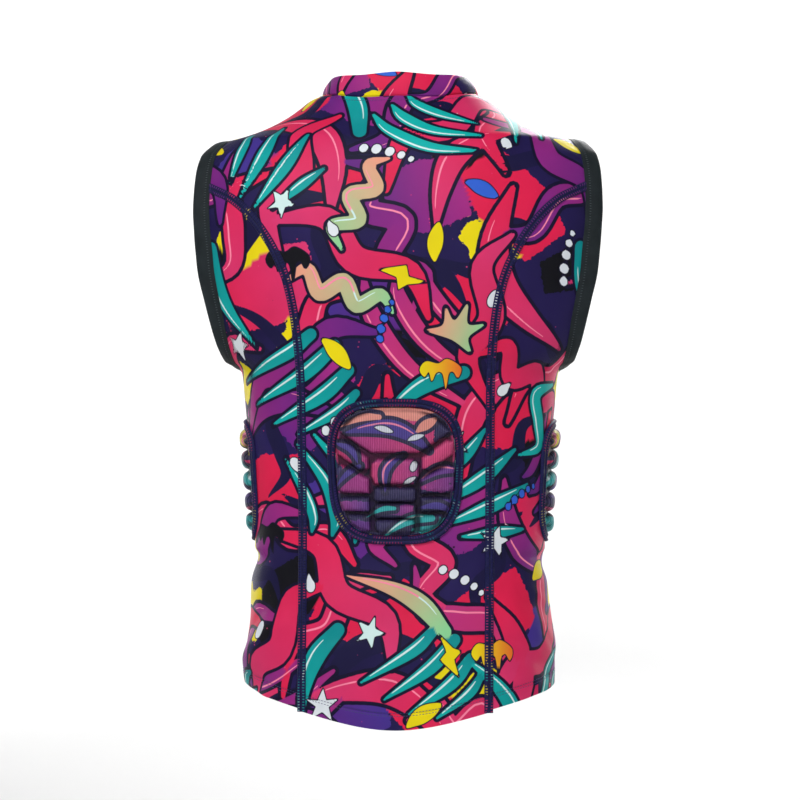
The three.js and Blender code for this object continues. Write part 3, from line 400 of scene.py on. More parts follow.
# The print: flat colours in the manner of spray and marker drawing, in abstract strokes and shapes.
# Each shape is drawn once, in a square from -1 to 1, as strokes of (x, y, half width), as rounded
# outlines, or as edged ones that keep their corners.
INK = {
    "crimson": "#e4214f", "rose": "#dc3a74", "pink": "#ff8fae", "magenta": "#a82c82",
    "purple": "#632584", "violet": "#44338f", "night": "#1b1740", "black": "#101017",
    "teal": "#0fb3ae", "sea": "#0b8f93", "ice": "#d9f4f2", "white": "#e6ecf2",
    "yellow": "#f0dc14", "salmon": "#f49c86", "mint": "#8ed69a", "blue": "#3465d6",
    "orange": "#f2742e",
}
SHAPES = {
    "swoosh": [("stroke", [(-1, -0.35, 0.02), (-0.5, -0.05, 0.13), (0, 0.12, 0.19), (0.5, 0.02, 0.15),
                           (1, -0.3, 0.03)])],
    "crest": [("stroke", [(-1, 0.25, 0.02), (-0.5, -0.12, 0.12), (-0.05, 0.1, 0.17), (0.45, 0.4, 0.15),
                          (1, 0.0, 0.03)])],
    "blade": [("stroke", [(-1, -0.15, 0.01), (-0.2, 0.06, 0.12), (0.4, 0.1, 0.17), (1, -0.02, 0.12)])],
    "comb": [("stroke", [(-1, -0.75, 0.02), (-0.45, 0.25, 0.12), (-0.3, 0.75, 0.1)]),
             ("stroke", [(-0.45, -0.8, 0.02), (0.0, 0.15, 0.13), (0.15, 0.85, 0.11)]),
             ("stroke", [(0.1, -0.8, 0.02), (0.5, 0.1, 0.13), (0.6, 0.7, 0.1)]),
             ("stroke", [(0.6, -0.6, 0.02), (0.9, 0.1, 0.1), (0.95, 0.5, 0.07)])],
    "fan": [("stroke", [(-0.5, -0.75, 0.02), (-0.72, 0.0, 0.11), (-0.98, 0.55, 0.03)]),
            ("stroke", [(-0.14, -0.9, 0.02), (-0.22, 0.1, 0.13), (-0.4, 0.92, 0.03)]),
            ("stroke", [(0.22, -0.9, 0.02), (0.3, 0.1, 0.13), (0.3, 0.9, 0.03)]),
            ("stroke", [(0.55, -0.7, 0.02), (0.78, -0.05, 0.1), (0.98, 0.45, 0.03)])],
    "wave": [("stroke", [(-1, -0.1, 0.03), (-0.7, 0.22, 0.11), (-0.35, -0.12, 0.14), (0, 0.2, 0.15),
                         (0.35, -0.12, 0.14), (0.7, 0.18, 0.11), (1, -0.05, 0.03)])],
    "ribbon": [("stroke", [(-1, -0.5, 0.03), (-0.55, 0.02, 0.12), (0, -0.05, 0.15), (0.5, 0.3, 0.12),
                           (1, 0.12, 0.03)])],
    "plume": [("stroke", [(-1, -0.5, 0.03), (-0.35, 0.2, 0.11), (0.45, 0.58, 0.12), (1, 0.6, 0.03)]),
              ("stroke", [(-0.75, -0.8, 0.03), (-0.1, -0.14, 0.11), (0.55, 0.16, 0.12), (0.95, 0.16, 0.03)]),
              ("stroke", [(-0.4, -1, 0.02), (0.2, -0.5, 0.1), (0.65, -0.26, 0.1), (0.95, -0.24, 0.03)])],
    "flame": [("outline", [(-1, -0.55), (-0.5, -0.15), (-0.62, 0.5), (-0.15, 0.15), (0.1, 0.9), (0.36, 0.2),
                           (0.95, 0.4), (0.55, -0.25), (0.8, -0.75), (0, -0.55)])],
    "leaf": [("outline", [(-1, -0.1), (-0.5, 0.3), (0.1, 0.42), (0.7, 0.25), (1, 0), (0.5, -0.28),
                          (-0.1, -0.36), (-0.6, -0.26)])],
    "blot": [("outline", [(-1, 0.1), (-0.6, 0.7), (-0.05, 0.6), (0.4, 0.95), (0.9, 0.5), (0.8, -0.1),
                          (1, -0.6), (0.4, -0.75), (-0.1, -1), (-0.6, -0.7), (-0.7, -0.3)])],
    "slab": [("edged", [(-0.95, -0.4), (-0.8, 0.5), (0.2, 0.62), (0.95, 0.42), (0.85, -0.5), (0, -0.62)])],
    "shard": [("edged", [(-1, -0.2), (-0.1, 0.5), (0.2, 0.15), (1, 0.35), (0.3, -0.15), (0.1, -0.5),
                         (-0.2, -0.1)])],
    "star": [("edged", [(-1, 0.3), (-0.3, 0.25), (0.05, 1), (0.25, 0.3), (1, 0.4), (0.4, -0.1), (0.6, -0.9),
                        (0, -0.4), (-0.7, -0.8), (-0.4, -0.1)])],
    "drop": [("outline", [(0, 1), (0.3, 0.35), (0.55, -0.2), (0.4, -0.8), (0, -1), (-0.4, -0.8),
                          (-0.55, -0.2), (-0.3, 0.35)])],
    "oval": [("outline", [(-0.6, 0), (-0.45, 0.7), (0, 1), (0.45, 0.7), (0.6, 0), (0.45, -0.7), (0, -1),
                          (-0.45, -0.7)])],
    "beads": [("stroke", [(-0.95, -0.2, 0.15), (-0.94, -0.14, 0.15)]),
              ("stroke", [(-0.5, -0.05, 0.17), (-0.49, 0.02, 0.17)]),
              ("stroke", [(0.0, 0.05, 0.16), (0.01, 0.12, 0.16)]),
              ("stroke", [(0.45, 0.1, 0.13), (0.46, 0.16, 0.13)]),
              ("stroke", [(0.85, 0.1, 0.1), (0.86, 0.15, 0.1)])],
    "drips": [("outline", [(-1, 0.1), (-0.7, 0.5), (-0.1, 0.4), (0.35, 0.62), (1, 0.2), (0.84, -0.3),
                           (0.62, 0), (0.4, -0.1), (0.26, -0.85), (0.1, -0.1), (-0.2, -0.05),
                           (-0.42, -0.45), (-0.56, 0), (-0.76, -0.25)])],
}

# The layout of one repeat, 375 mm wide: layer, shape, place across and up in mm, half size in mm,
# turn in degrees, height against width, and the ink at each end. Layers: 0 flat patches with a brushed
# edge, 1 dark strokes, 2 to 4 outlined strokes, 5 small accents.
REPEAT = 375
PRINT = [
    (0, "slab", -118, 22, 56, 12, 1.0, "crimson", "crimson"),
    (0, "slab", -28, 6, 52, -20, 1.1, "purple", "magenta"),
    (0, "slab", 62, 14, 58, 30, 0.9, "crimson", "rose"),
    (0, "slab", 150, 2.0, 49, -8, 1.1, "violet", "purple"),
    (0, "slab", -158, -78, 45, 50, 0.9, "violet", "violet"),
    (0, "slab", -72, -96, 65, -32, 0.9, "crimson", "crimson"),
    (0, "slab", 26, -108, 49, 15, 1.2, "purple", "magenta"),
    (0, "slab", 112, -112, 63, -48, 0.9, "crimson", "crimson"),
    (0, "slab", 176, -176, 38, 20, 0.9, "black", "black"),
    (0, "slab", -128, -196, 60, 22, 1.0, "crimson", "rose"),
    (0, "slab", -24, -206, 56, -10, 1.0, "violet", "purple"),
    (0, "slab", 74, -216, 56, 38, 1.0, "crimson", "crimson"),
    (0, "slab", -172, -286, 40, -30, 0.8, "yellow", "yellow"),
    (0, "slab", -84, -304, 52, 60, 1.1, "purple", "magenta"),
    (0, "slab", 12, -312, 60, -24, 0.9, "crimson", "crimson"),
    (0, "slab", 126, -312, 60, 10, 1.1, "crimson", "crimson"),
    (0, "slab", -142, -394, 58, 16, 1.0, "crimson", "crimson"),
    (0, "slab", -48, -410, 49, -42, 1.0, "violet", "purple"),
    (0, "slab", 58, -420, 52, 28, 1.0, "purple", "magenta"),
    (0, "slab", 152, -426, 56, -16, 1.0, "crimson", "rose"),
    (0, "slab", -112, -496, 52, 40, 0.9, "black", "black"),
    (0, "slab", -20, -506, 63, -14, 1.0, "crimson", "crimson"),
    (0, "slab", 88, -518, 60, 34, 1.0, "crimson", "crimson"),
    (0, "slab", 176, -530, 45, 0, 1.1, "violet", "violet"),
    (0, "slab", -150, -590, 60, -26, 0.9, "crimson", "rose"),
    (0, "slab", -52, -606, 52, 18, 0.9, "purple", "violet"),
    (0, "slab", 44, -612, 54, -36, 0.9, "crimson", "crimson"),
    (0, "slab", 128, -610, 52, 12, 0.9, "magenta", "crimson"),
    (0, "blot", -150, -150, 34, 20, 0.9, "yellow", "yellow"),
    (0, "blot", 60, -60, 30, -30, 0.8, "black", "black"),
    (0, "blot", -20, -360, 34, 60, 0.9, "black", "black"),
    (0, "blot", 92, -150, 30, 0, 0.9, "yellow", "yellow"),
    (0, "blot", 150, -350, 32, 10, 0.9, "black", "black"),
    (0, "blot", -90, -250, 30, -60, 0.9, "yellow", "yellow"),
    (0, "blot", 70, -570, 34, 30, 0.9, "yellow", "yellow"),
    (0, "blot", -170, -510, 34, -20, 0.9, "yellow", "yellow"),
    (0, "blot", 10, -250, 28, -20, 0.9, "black", "black"),

    (1, "ribbon", -96, 0, 53, 20, 1.0, "night", "night"),
    (1, "wave", 44, -18, 60, -28, 1.0, "night", "night"),
    (1, "crest", 134, -62, 51, 160, 1.0, "night", "night"),
    (1, "swoosh", -36, -70, 51, -60, 1.0, "night", "night"),
    (1, "swoosh", -122, -128, 64, 34, 1.0, "night", "night"),
    (1, "crest", 92, -150, 55, 200, 1.0, "night", "night"),
    (1, "ribbon", -64, -176, 62, 74, 1.0, "night", "night"),
    (1, "swoosh", 32, -182, 48, -24, 1.0, "night", "night"),
    (1, "ribbon", 148, -236, 53, 130, 1.0, "night", "night"),
    (1, "plume", -140, -246, 51, -70, 1.0, "night", "night"),
    (1, "swoosh", 66, -272, 62, -50, 1.2, "night", "night"),
    (1, "wave", -14, -288, 57, 14, 1.0, "night", "night"),
    (1, "crest", -112, -350, 51, 80, 1.0, "night", "night"),
    (1, "ribbon", 118, -358, 53, 40, 1.0, "night", "night"),
    (1, "swoosh", 24, -376, 51, 10, 1.0, "night", "night"),
    (1, "swoosh", -66, -440, 62, -64, 1.1, "night", "night"),
    (1, "swoosh", 168, -388, 46, -110, 1.0, "night", "night"),
    (1, "ribbon", 98, -462, 57, 52, 1.0, "night", "night"),
    (1, "crest", -152, -468, 48, 150, 1.0, "night", "night"),
    (1, "ribbon", 6, -470, 48, 200, 1.0, "night", "night"),
    (1, "swoosh", -30, -548, 62, 24, 1.1, "night", "night"),
    (1, "crest", 70, -566, 48, 10, 1.0, "night", "night"),
    (1, "wave", 150, -574, 57, -40, 1.0, "night", "night"),
    (1, "plume", -110, -560, 53, -20, 1.0, "night", "night"),

    (2, "swoosh", -150, 26, 75, 30, 1.0, "rose", "crimson"),
    (2, "ribbon", 8, -6, 73, -140, 1.0, "magenta", "purple"),
    (2, "ribbon", 104, 0, 75, 66, 1.0, "crimson", "rose"),
    (2, "swoosh", -84, -46, 78, -54, 1.2, "crimson", "rose"),
    (2, "swoosh", 62, -74, 65, 52, 1.0, "rose", "crimson"),
    (2, "ribbon", 160, -110, 70, -160, 1.0, "magenta", "purple"),
    (2, "crest", -154, -140, 68, 60, 1.0, "rose", "crimson"),
    (2, "wave", -8, -140, 78, -66, 1.1, "purple", "magenta"),
    (2, "swoosh", 112, -186, 83, 108, 1.2, "rose", "crimson"),
    (2, "crest", -90, -232, 68, -140, 1.0, "crimson", "rose"),
    (2, "plume", 24, -246, 70, 100, 1.0, "rose", "magenta"),
    (2, "ribbon", 172, -276, 70, 12, 1.0, "crimson", "rose"),
    (2, "swoosh", 84, -318, 70, 56, 1.0, "crimson", "rose"),
    (2, "swoosh", -138, -318, 78, 20, 1.2, "magenta", "purple"),
    (2, "ribbon", -38, -352, 70, 220, 1.0, "crimson", "rose"),
    (2, "wave", 34, -436, 73, 100, 1.0, "rose", "crimson"),
    (2, "swoosh", 134, -442, 65, 130, 1.0, "purple", "magenta"),
    (2, "ribbon", -104, -434, 70, -30, 1.0, "rose", "crimson"),
    (2, "swoosh", 176, -484, 78, 70, 1.2, "crimson", "rose"),
    (2, "crest", 60, -520, 68, -40, 1.0, "magenta", "rose"),
    (2, "ribbon", -66, -520, 75, 30, 1.0, "crimson", "rose"),
    (2, "crest", -166, -548, 62, 30, 1.0, "purple", "magenta"),
    (2, "swoosh", -8, -590, 81, -20, 1.2, "rose", "crimson"),
    (2, "plume", -116, -606, 65, 170, 1.0, "magenta", "purple"),
    (2, "wave", 82, -612, 68, -8, 1.0, "rose", "crimson"),

    (3, "ribbon", -60, 34, 74, -12, 1.0, "rose", "crimson"),
    (3, "ribbon", 52, -30, 84, 24, 1.0, "crimson", "rose"),
    (3, "ribbon", -96, -84, 78, 52, 1.1, "rose", "crimson"),
    (3, "ribbon", 156, -66, 76, -64, 1.0, "magenta", "purple"),
    (3, "ribbon", -34, -166, 88, -48, 1.0, "rose", "crimson"),
    (3, "ribbon", 90, -222, 80, 66, 1.0, "crimson", "rose"),
    (3, "ribbon", -96, -272, 86, 16, 1.0, "magenta", "purple"),
    (3, "wave", 138, -288, 62, -34, 1.1, "crimson", "rose"),
    (3, "flame", -24, -330, 34, -24, 1.0, "rose", "crimson"),
    (3, "plume", 172, -366, 46, 210, 1.0, "magenta", "purple"),
    (3, "wave", 0, -400, 62, 84, 1.1, "magenta", "rose"),
    (3, "ribbon", -152, -448, 70, 22, 1.1, "purple", "magenta"),
    (3, "ribbon", -52, -488, 86, -62, 1.0, "crimson", "rose"),
    (3, "swoosh", 122, -560, 70, -84, 1.0, "crimson", "rose"),
    (3, "ribbon", 160, -552, 80, 14, 1.0, "rose", "crimson"),
    (3, "ribbon", -118, -540, 80, 40, 1.0, "rose", "crimson"),
    (3, "plume", -104, -622, 46, -30, 1.0, "magenta", "purple"),

    (4, "comb", 150, 8, 54, 24, 1.0, "teal", "sea"),
    (4, "blade", -52, 12, 54, -70, 1.2, "teal", "sea"),
    (4, "fan", -124, -72, 52, -32, 1.0, "teal", "sea"),
    (4, "plume", 30, -38, 48, 128, 1.0, "teal", "teal"),
    (4, "wave", -32, -112, 50, 62, 1.2, "mint", "salmon"),
    (4, "blade", -170, -206, 54, 112, 1.3, "teal", "sea"),
    (4, "wave", -52, -200, 54, -18, 1.0, "salmon", "mint"),
    (4, "flame", 60, -232, 26, -20, 1.0, "salmon", "mint"),
    (4, "comb", -98, -286, 56, -40, 1.1, "teal", "sea"),
    (4, "crest", 156, -326, 44, 60, 1.3, "teal", "teal"),
    (4, "blade", 20, -300, 52, 28, 1.2, "teal", "sea"),
    (4, "fan", 84, -392, 54, -64, 1.0, "teal", "sea"),
    (4, "plume", -62, -388, 48, -100, 1.1, "teal", "sea"),
    (4, "blade", 4, -494, 54, -34, 1.3, "salmon", "mint"),
    (4, "comb", 30, -566, 50, -30, 1.0, "teal", "sea"),
    (4, "blade", -80, -572, 54, 64, 1.3, "teal", "sea"),
    (4, "plume", 176, -598, 45, 30, 1.1, "teal", "sea"),
    (4, "blade", 100, -584, 48, -56, 1.2, "teal", "sea"),

    (5, "leaf", -96, 30, 22, 60, 1.0, "yellow", "yellow"),
    (5, "leaf", 178, -46, 20, -30, 1.0, "yellow", "yellow"),
    (5, "beads", -6, -64, 26, -24, 1.0, "white", "white"),
    (5, "shard", -178, -16, 22, 20, 1.0, "yellow", "yellow"),
    (5, "oval", 108, -52, 8, 20, 1.0, "white", "white"),
    (5, "star", 20, 30, 14, 10, 1.0, "white", "white"),
    (5, "leaf", 84, -100, 18, -30, 1.0, "blue", "blue"),
    (5, "star", -110, -112, 15, 40, 1.0, "ice", "ice"),
    (5, "drop", -60, -138, 9, 30, 1.0, "white", "white"),
    (5, "leaf", 40, -152, 19, 80, 1.0, "yellow", "yellow"),
    (5, "beads", 172, -164, 26, 70, 1.0, "white", "white"),
    (5, "drips", -104, -170, 22, 0, 1.0, "black", "black"),
    (5, "shard", 8, -186, 24, -30, 1.0, "yellow", "yellow"),
    (5, "oval", 96, -206, 9, -30, 1.0, "white", "white"),
    (5, "beads", -8, -226, 20, 60, 1.2, "blue", "blue"),
    (5, "star", -164, -250, 15, -20, 1.0, "white", "white"),
    (5, "drips", 44, -276, 20, 0, 1.0, "yellow", "orange"),
    (5, "leaf", -56, -258, 20, -50, 1.0, "yellow", "yellow"),
    (5, "beads", -46, -320, 26, 20, 1.0, "white", "white"),
    (5, "drop", 108, -292, 9, -50, 1.0, "white", "white"),
    (5, "star", 56, -346, 15, 30, 1.0, "ice", "ice"),
    (5, "leaf", 180, -352, 20, 40, 1.0, "yellow", "yellow"),
    (5, "oval", -98, -366, 9, 50, 1.0, "white", "white"),
    (5, "beads", 128, -396, 20, 20, 1.2, "blue", "blue"),
    (5, "shard", -14, -416, 24, 50, 1.0, "yellow", "yellow"),
    (5, "drips", -134, -436, 20, 0, 1.0, "black", "black"),
    (5, "star", 98, -440, 16, -12, 1.0, "white", "white"),
    (5, "beads", 66, -478, 24, -40, 1.0, "white", "white"),
    (5, "leaf", -176, -446, 20, -60, 1.0, "yellow", "yellow"),
    (5, "drop", -84, -480, 9, 10, 1.0, "white", "white"),
    (5, "leaf", 160, -470, 19, 20, 1.0, "yellow", "yellow"),
    (5, "star", -24, -526, 15, 50, 1.0, "ice", "ice"),
    (5, "drips", 96, -548, 22, 0, 1.0, "yellow", "orange"),
    (5, "oval", -142, -528, 9, -20, 1.0, "white", "white"),
    (5, "shard", 54, -548, 22, 100, 1.0, "yellow", "yellow"),
    (5, "star", -70, -596, 16, 0, 1.0, "white", "white"),
    (5, "leaf", 28, -604, 20, 30, 1.0, "yellow", "yellow"),
    (5, "beads", 148, -606, 26, -14, 1.0, "white", "white"),
    (5, "shard", -176, -606, 22, 10, 1.0, "yellow", "yellow"),
]
OUTLINES = [0.0, 0.0, 3.8, 3.2, 3.0, 1.1]


def unit(v):
    return v / np.linalg.norm(v, axis=-1, keepdims=True)


def linear(hex_colour):
    c = np.array([int(hex_colour[k:k + 2], 16) for k in (1, 3, 5)]) / 255
    return np.where(c <= 0.04045, c / 12.92, ((c + 0.055) / 1.055) ** 2.4)


def rounded_line(points, closed=False, steps=6):
    p = np.array(points, float)
    before = np.roll(p, 1, 0) if closed else np.concatenate([2 * p[:1] - p[1:2], p[:-1]])
    after = np.roll(p, -1, 0) if closed else np.concatenate([p[1:], 2 * p[-1:] - p[-2:-1]])
    beyond = np.roll(p, -2, 0) if closed else np.concatenate([after[1:], 2 * after[-1:] - after[-2:-1]])
    spans = len(p) if closed else len(p) - 1
    t = (np.arange(steps) / steps)[None, :, None]
    a, b, c, d = (q[:spans, None] for q in (before, p, after, beyond))
    square, cube = 2 * a - 5 * b + 4 * c - d, 3 * b - a - 3 * c + d
    line = 0.5 * (2 * b + (c - a) * t + square * t ** 2 + cube * t ** 3)
    line = line.reshape(-1, p.shape[1])
    return line if closed else np.concatenate([line, p[-1:]])


def to_segments(x, y, a, b):
    way = b - a
    off_x, off_y = x[:, None] - a[:, 0], y[:, None] - a[:, 1]
    t = np.clip((off_x * way[:, 0] + off_y * way[:, 1]) / np.maximum((way ** 2).sum(-1), 1e-9), 0, 1)
    return np.hypot(off_x - t * way[:, 0], off_y - t * way[:, 1]), t


def to_stroke(x, y, line):
    gap, t = to_segments(x, y, line[:-1, :2], line[1:, :2])
    d = gap - mix(line[None, :-1, 2], line[None, 1:, 2], t)
    k = d.argmin(1)
    rows = np.arange(len(x))
    return d[rows, k], (k + t[rows, k]) / (len(line) - 1)


def to_outline(x, y, line):
    a, b = line, np.roll(line, -1, 0)
    gap, _ = to_segments(x, y, a, b)
    above = (a[None, :, 1] > y[:, None]) != (b[None, :, 1] > y[:, None])
    rise = np.where(b[:, 1] == a[:, 1], 1, b[:, 1] - a[:, 1])
    meets = a[None, :, 0] + (y[:, None] - a[None, :, 1]) / rise[None] * (b - a)[None, :, 0]
    inside = (above & (x[:, None] < meets)).sum(1) % 2 == 1
    return gap.min(1) * np.where(inside, -1, 1)


def shape_lines(shape, size, squeeze):
    for kind, points in SHAPES[shape]:
        p = np.array(points, float) * size
        p[:, 1] *= squeeze
        yield p if kind == "edged" else rounded_line(p, closed=kind == "outline")


def shine_line(line):
    """A thin highlight along one side of a stroke, where the stroke is wide enough."""
    middle = line[int(len(line) * 0.14):int(len(line) * 0.8) + 1]
    if len(middle) < 2 or middle[:, 2].max() < 3.6:
        return None
    way = unit(np.gradient(middle[:, :2], axis=0))
    off = middle[:, :2] + np.stack([-way[:, 1], way[:, 0]], 1) * middle[:, 2:3] * 0.5
    return np.column_stack([off, 0.3 + 0.65 * np.sin(np.linspace(0.05, 1, len(off)) * np.pi)])


def beside_line(x, y, line):
    """How far a point lies to one side of a line, signed, and the line's half width there."""
    gap, t = to_segments(x, y, line[:-1, :2], line[1:, :2])
    k, rows = gap.argmin(1), np.arange(len(x))
    gap, t = gap[rows, k], t[rows, k]
    start, way = line[k, :2], unit(line[k + 1, :2] - line[k, :2])
    off = way[:, 0] * (y - start[:, 1]) - way[:, 1] * (x - start[:, 0])
    beyond = np.sqrt(np.maximum(gap ** 2 - off ** 2, 0))
    return off, mix(line[k, 2], line[k + 1, 2], t) - beyond - 1.5 * np.maximum(gap - 3, 0)


def printed(u, v, rows=PRINT):
    """At each point of the flat cloth: how far each layer's shapes are, their ink, and the highlights."""
    shape = u.shape
    u, v = u.ravel(), v.ravel()
    count = len(OUTLINES)
    cut = np.full((count, len(u)), 30.0)
    ink = np.tile(linear(INK["night"]), (count, len(u), 1))
    glint = np.tile((6.0, -8.0), (count, len(u), 1))
    for layer, name, x0, y0, size, turn, squeeze, first, second in rows:
        lines = list(shape_lines(name, size, squeeze))
        inks = linear(INK[first]), linear(INK[second])
        c, s = np.cos(np.radians(turn)), np.sin(np.radians(turn))
        for shift in (-2 * REPEAT, -REPEAT, 0, REPEAT, 2 * REPEAT):
            near = np.flatnonzero((np.abs(u - x0 - shift) < size * 1.4) & (np.abs(v - y0) < size * 1.4))
            if not len(near):
                continue
            du, dv = u[near] - x0 - shift, v[near] - y0
            x, y = du * c + dv * s, dv * c - du * s
            for line in lines:
                if line.shape[1] == 3:
                    d, along = to_stroke(x, y, line)
                    shine = shine_line(line) if layer in (2, 4) else None
                    if shine is not None:
                        off, wide = beside_line(x, y, shine)
                        closer = wide - np.abs(off) > glint[layer, near, 1] - np.abs(glint[layer, near, 0])
                        glint[layer, near[closer]] = np.stack([off, wide], 1)[closer]
                else:
                    d, along = to_outline(x, y, line), np.clip(0.5 + x / size / 2, 0, 1)
                closer = d < cut[layer, near]
                cut[layer, near[closer]] = d[closer]
                ink[layer, near[closer]] = mix(inks[0], inks[1], along[closer, None])
    over = np.full(len(u), 30.0)
    best, tint = np.tile((6.0, -8.0), (len(u), 1)), np.tile(linear(INK["pink"]), (len(u), 1))
    for layer in reversed(range(count)):
        seen = glint[layer]
        seen[:, 1] = np.minimum(seen[:, 1], np.minimum(over, -cut[layer] + 0.5))
        closer = seen[:, 1] - np.abs(seen[:, 0]) > best[:, 1] - np.abs(best[:, 0])
        best[closer] = seen[closer]
        cool = ink[layer, :, 1] > ink[layer, :, 0]
        tint[closer] = np.where(cool[closer, None], linear(INK["ice"]), linear(INK["pink"]))
        over = np.minimum(over, cut[layer] - OUTLINES[layer])
    table = {f"cut_{k}": cut[k].reshape(shape) for k in range(count)}
    table.update({f"ink_{k}": ink[k].reshape(*shape, 3) for k in range(count)})
    table.update(shine_off=best[:, 0].reshape(shape), shine_wide=best[:, 1].reshape(shape),
                 shine_ink=tint.reshape(*shape, 3))
    return table


def clear_choice():
    if bpy.context.object and bpy.context.object.mode != "OBJECT":
        bpy.ops.object.mode_set(mode="OBJECT")
    bpy.ops.object.select_all(action="DESELECT")


def put_numbers(piece, numbers):
    """Numbers kept at the mesh's points, of one part or three, for the materials to read."""
    count = len(piece.data.vertices)
    for name, values in numbers.items():
        vector = values.size == 3 * count
        field = piece.data.attributes.new(name, "FLOAT_VECTOR" if vector else "FLOAT", "POINT")
        field.data.foreach_set("vector" if vector else "value", values.astype(np.float32).ravel())


def put_flat_map(piece, u, v):
    """The piece's own UV map, in metres across and along the cloth laid flat."""
    corners = np.empty(len(piece.data.loops), np.int32)
    piece.data.loops.foreach_get("vertex_index", corners)
    flat = np.stack([np.ravel(u)[corners], np.ravel(v)[corners]], 1)
    piece.data.uv_layers[0].data.foreach_set("uv", (flat * MM).astype(np.float32).ravel())


def laid_cloth(name, points, outs, flat, numbers):
    """A grid primitive laid through rows and columns of points, its face on the side of outs."""
    across = points[:, 1:] - points[:, :-1]
    up = points[1:] - points[:-1]
    turned = (np.cross(across[:-1], up[:, :-1]) * outs[:-1, :-1]).sum() < 0
    way = slice(None, None, -1 if turned else 1)
    rows, cols = points.shape[:2]
    clear_choice()
    bpy.ops.mesh.primitive_grid_add(x_subdivisions=cols - 1, y_subdivisions=rows - 1, size=2)
    piece = bpy.context.object
    piece.name = piece.data.name = name
    piece.data.vertices.foreach_set("co", (points[:, way] * MM).astype(np.float32).ravel())
    put_flat_map(piece, *(np.broadcast_to(side, (rows, cols))[:, way] for side in flat))
    put_numbers(piece, {key: values[:, way] for key, values in numbers.items()})
    return piece


def apply_wall(piece, inner, inside=0):
    """Gives a laid cloth its wall: a second face through the inner points, and a rim between the two."""
    corner = np.array(piece.data.vertices[0].co) / MM
    if np.linalg.norm(inner[0, 0] - corner) > np.linalg.norm(inner[0, -1] - corner):
        inner = inner[:, ::-1]
    wall = piece.modifiers.new("wall", "SOLIDIFY")
    wall.thickness, wall.offset, wall.material_offset = MM, -1, inside
    bpy.ops.object.modifier_apply(modifier="wall")
    places = np.empty(len(piece.data.vertices) * 3, np.float32)
    piece.data.vertices.foreach_get("co", places)
    places[len(places) // 2:] = (inner * MM).ravel()
    piece.data.vertices.foreach_set("co", places)
    piece.data.update()


def finish_piece(piece, slot, *nodes):
    clear_choice()
    piece.select_set(True)
    bpy.context.view_layer.objects.active = piece
    bpy.ops.object.shade_smooth_by_angle(angle=np.radians(50))
    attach(piece, "root")
    if nodes:
        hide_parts(*nodes)


class Shader:
    """A material's nodes, added and linked one by one."""

    def __init__(self, name, **looks):
        self.material = bpy.data.materials.new(name)
        self.material.use_nodes = True
        self.tree = self.material.node_tree
        self.surface = self.tree.nodes["Principled BSDF"]
        for socket, value in looks.items():
            self.surface.inputs[socket.replace("_", " ")].default_value = value

    def add(self, kind, inputs=(), output=0, **settings):
        node = self.tree.nodes.new(kind)
        for key, value in settings.items():
            setattr(node, key, value)
        for key, value in dict(inputs).items():
            if isinstance(value, bpy.types.NodeSocket):
                self.tree.links.new(value, node.inputs[key])
            else:
                node.inputs[key].default_value = value
        return node.outputs[output]

    def number(self, name):
        return self.add("ShaderNodeAttribute", output="Fac", attribute_name=name)

    def colour(self, name):
        return self.add("ShaderNodeAttribute", output="Color", attribute_name=name)

    def math(self, operation, a, b=0.0, c=0.0, clamp=False):
        return self.add("ShaderNodeMath", {0: a, 1: b, 2: c}, operation=operation, use_clamp=clamp)

    def blend(self, share, a, b):
        return self.add("ShaderNodeMix", {"Factor": share, "A": a, "B": b}, output="Result", data_type="RGBA")

    def noise(self, scale, detail=2.0, flat=False):
        place = self.add("ShaderNodeTexCoord", output="UV" if flat else "Object")
        inputs = {"Vector": place, "Scale": scale, "Detail": detail}
        return self.add("ShaderNodeTexNoise", inputs, output="Fac")

    def within(self, distance, edge=0.0, softness=0.5):
        return self.math("MULTIPLY_ADD", distance, -1 / softness, 0.5 + edge / softness, clamp=True)

    def specks(self, scale, radius, rare):
        """Small dots of ink in loose groups."""
        flat = self.add("ShaderNodeTexCoord", output="UV")
        dots = self.add("ShaderNodeTexVoronoi", {"Vector": flat, "Scale": scale}, output="Distance")
        group = self.noise(scale / 4, 1.0, flat=True)
        dots = self.math("MULTIPLY_ADD", dots, -12.0, 0.5 + 12 * radius, clamp=True)
        return self.math("MULTIPLY", dots, self.math("MULTIPLY_ADD", group, 30.0, -30 * rare, clamp=True))

    def flat_place(self):
        """Where a point lies on the piece laid flat, in millimetres."""
        place = self.add("ShaderNodeTexCoord", output="UV")
        return [self.math("MULTIPLY", self.add("ShaderNodeSeparateXYZ", {0: place}, output=axis), 1 / MM)
                for axis in ("X", "Y")]

    def paint(self, colour):
        self.tree.links.new(colour, self.surface.inputs["Base Color"])

    def relief(self, height, strength, depth):
        bump = self.add("ShaderNodeBump", {"Strength": strength, "Distance": depth * MM, "Height": height},
                        output="Normal")
        self.tree.links.new(bump, self.surface.inputs["Normal"])


def rgba(hex_colour, dim=1.0):
    return (*(linear(hex_colour) * dim), 1)


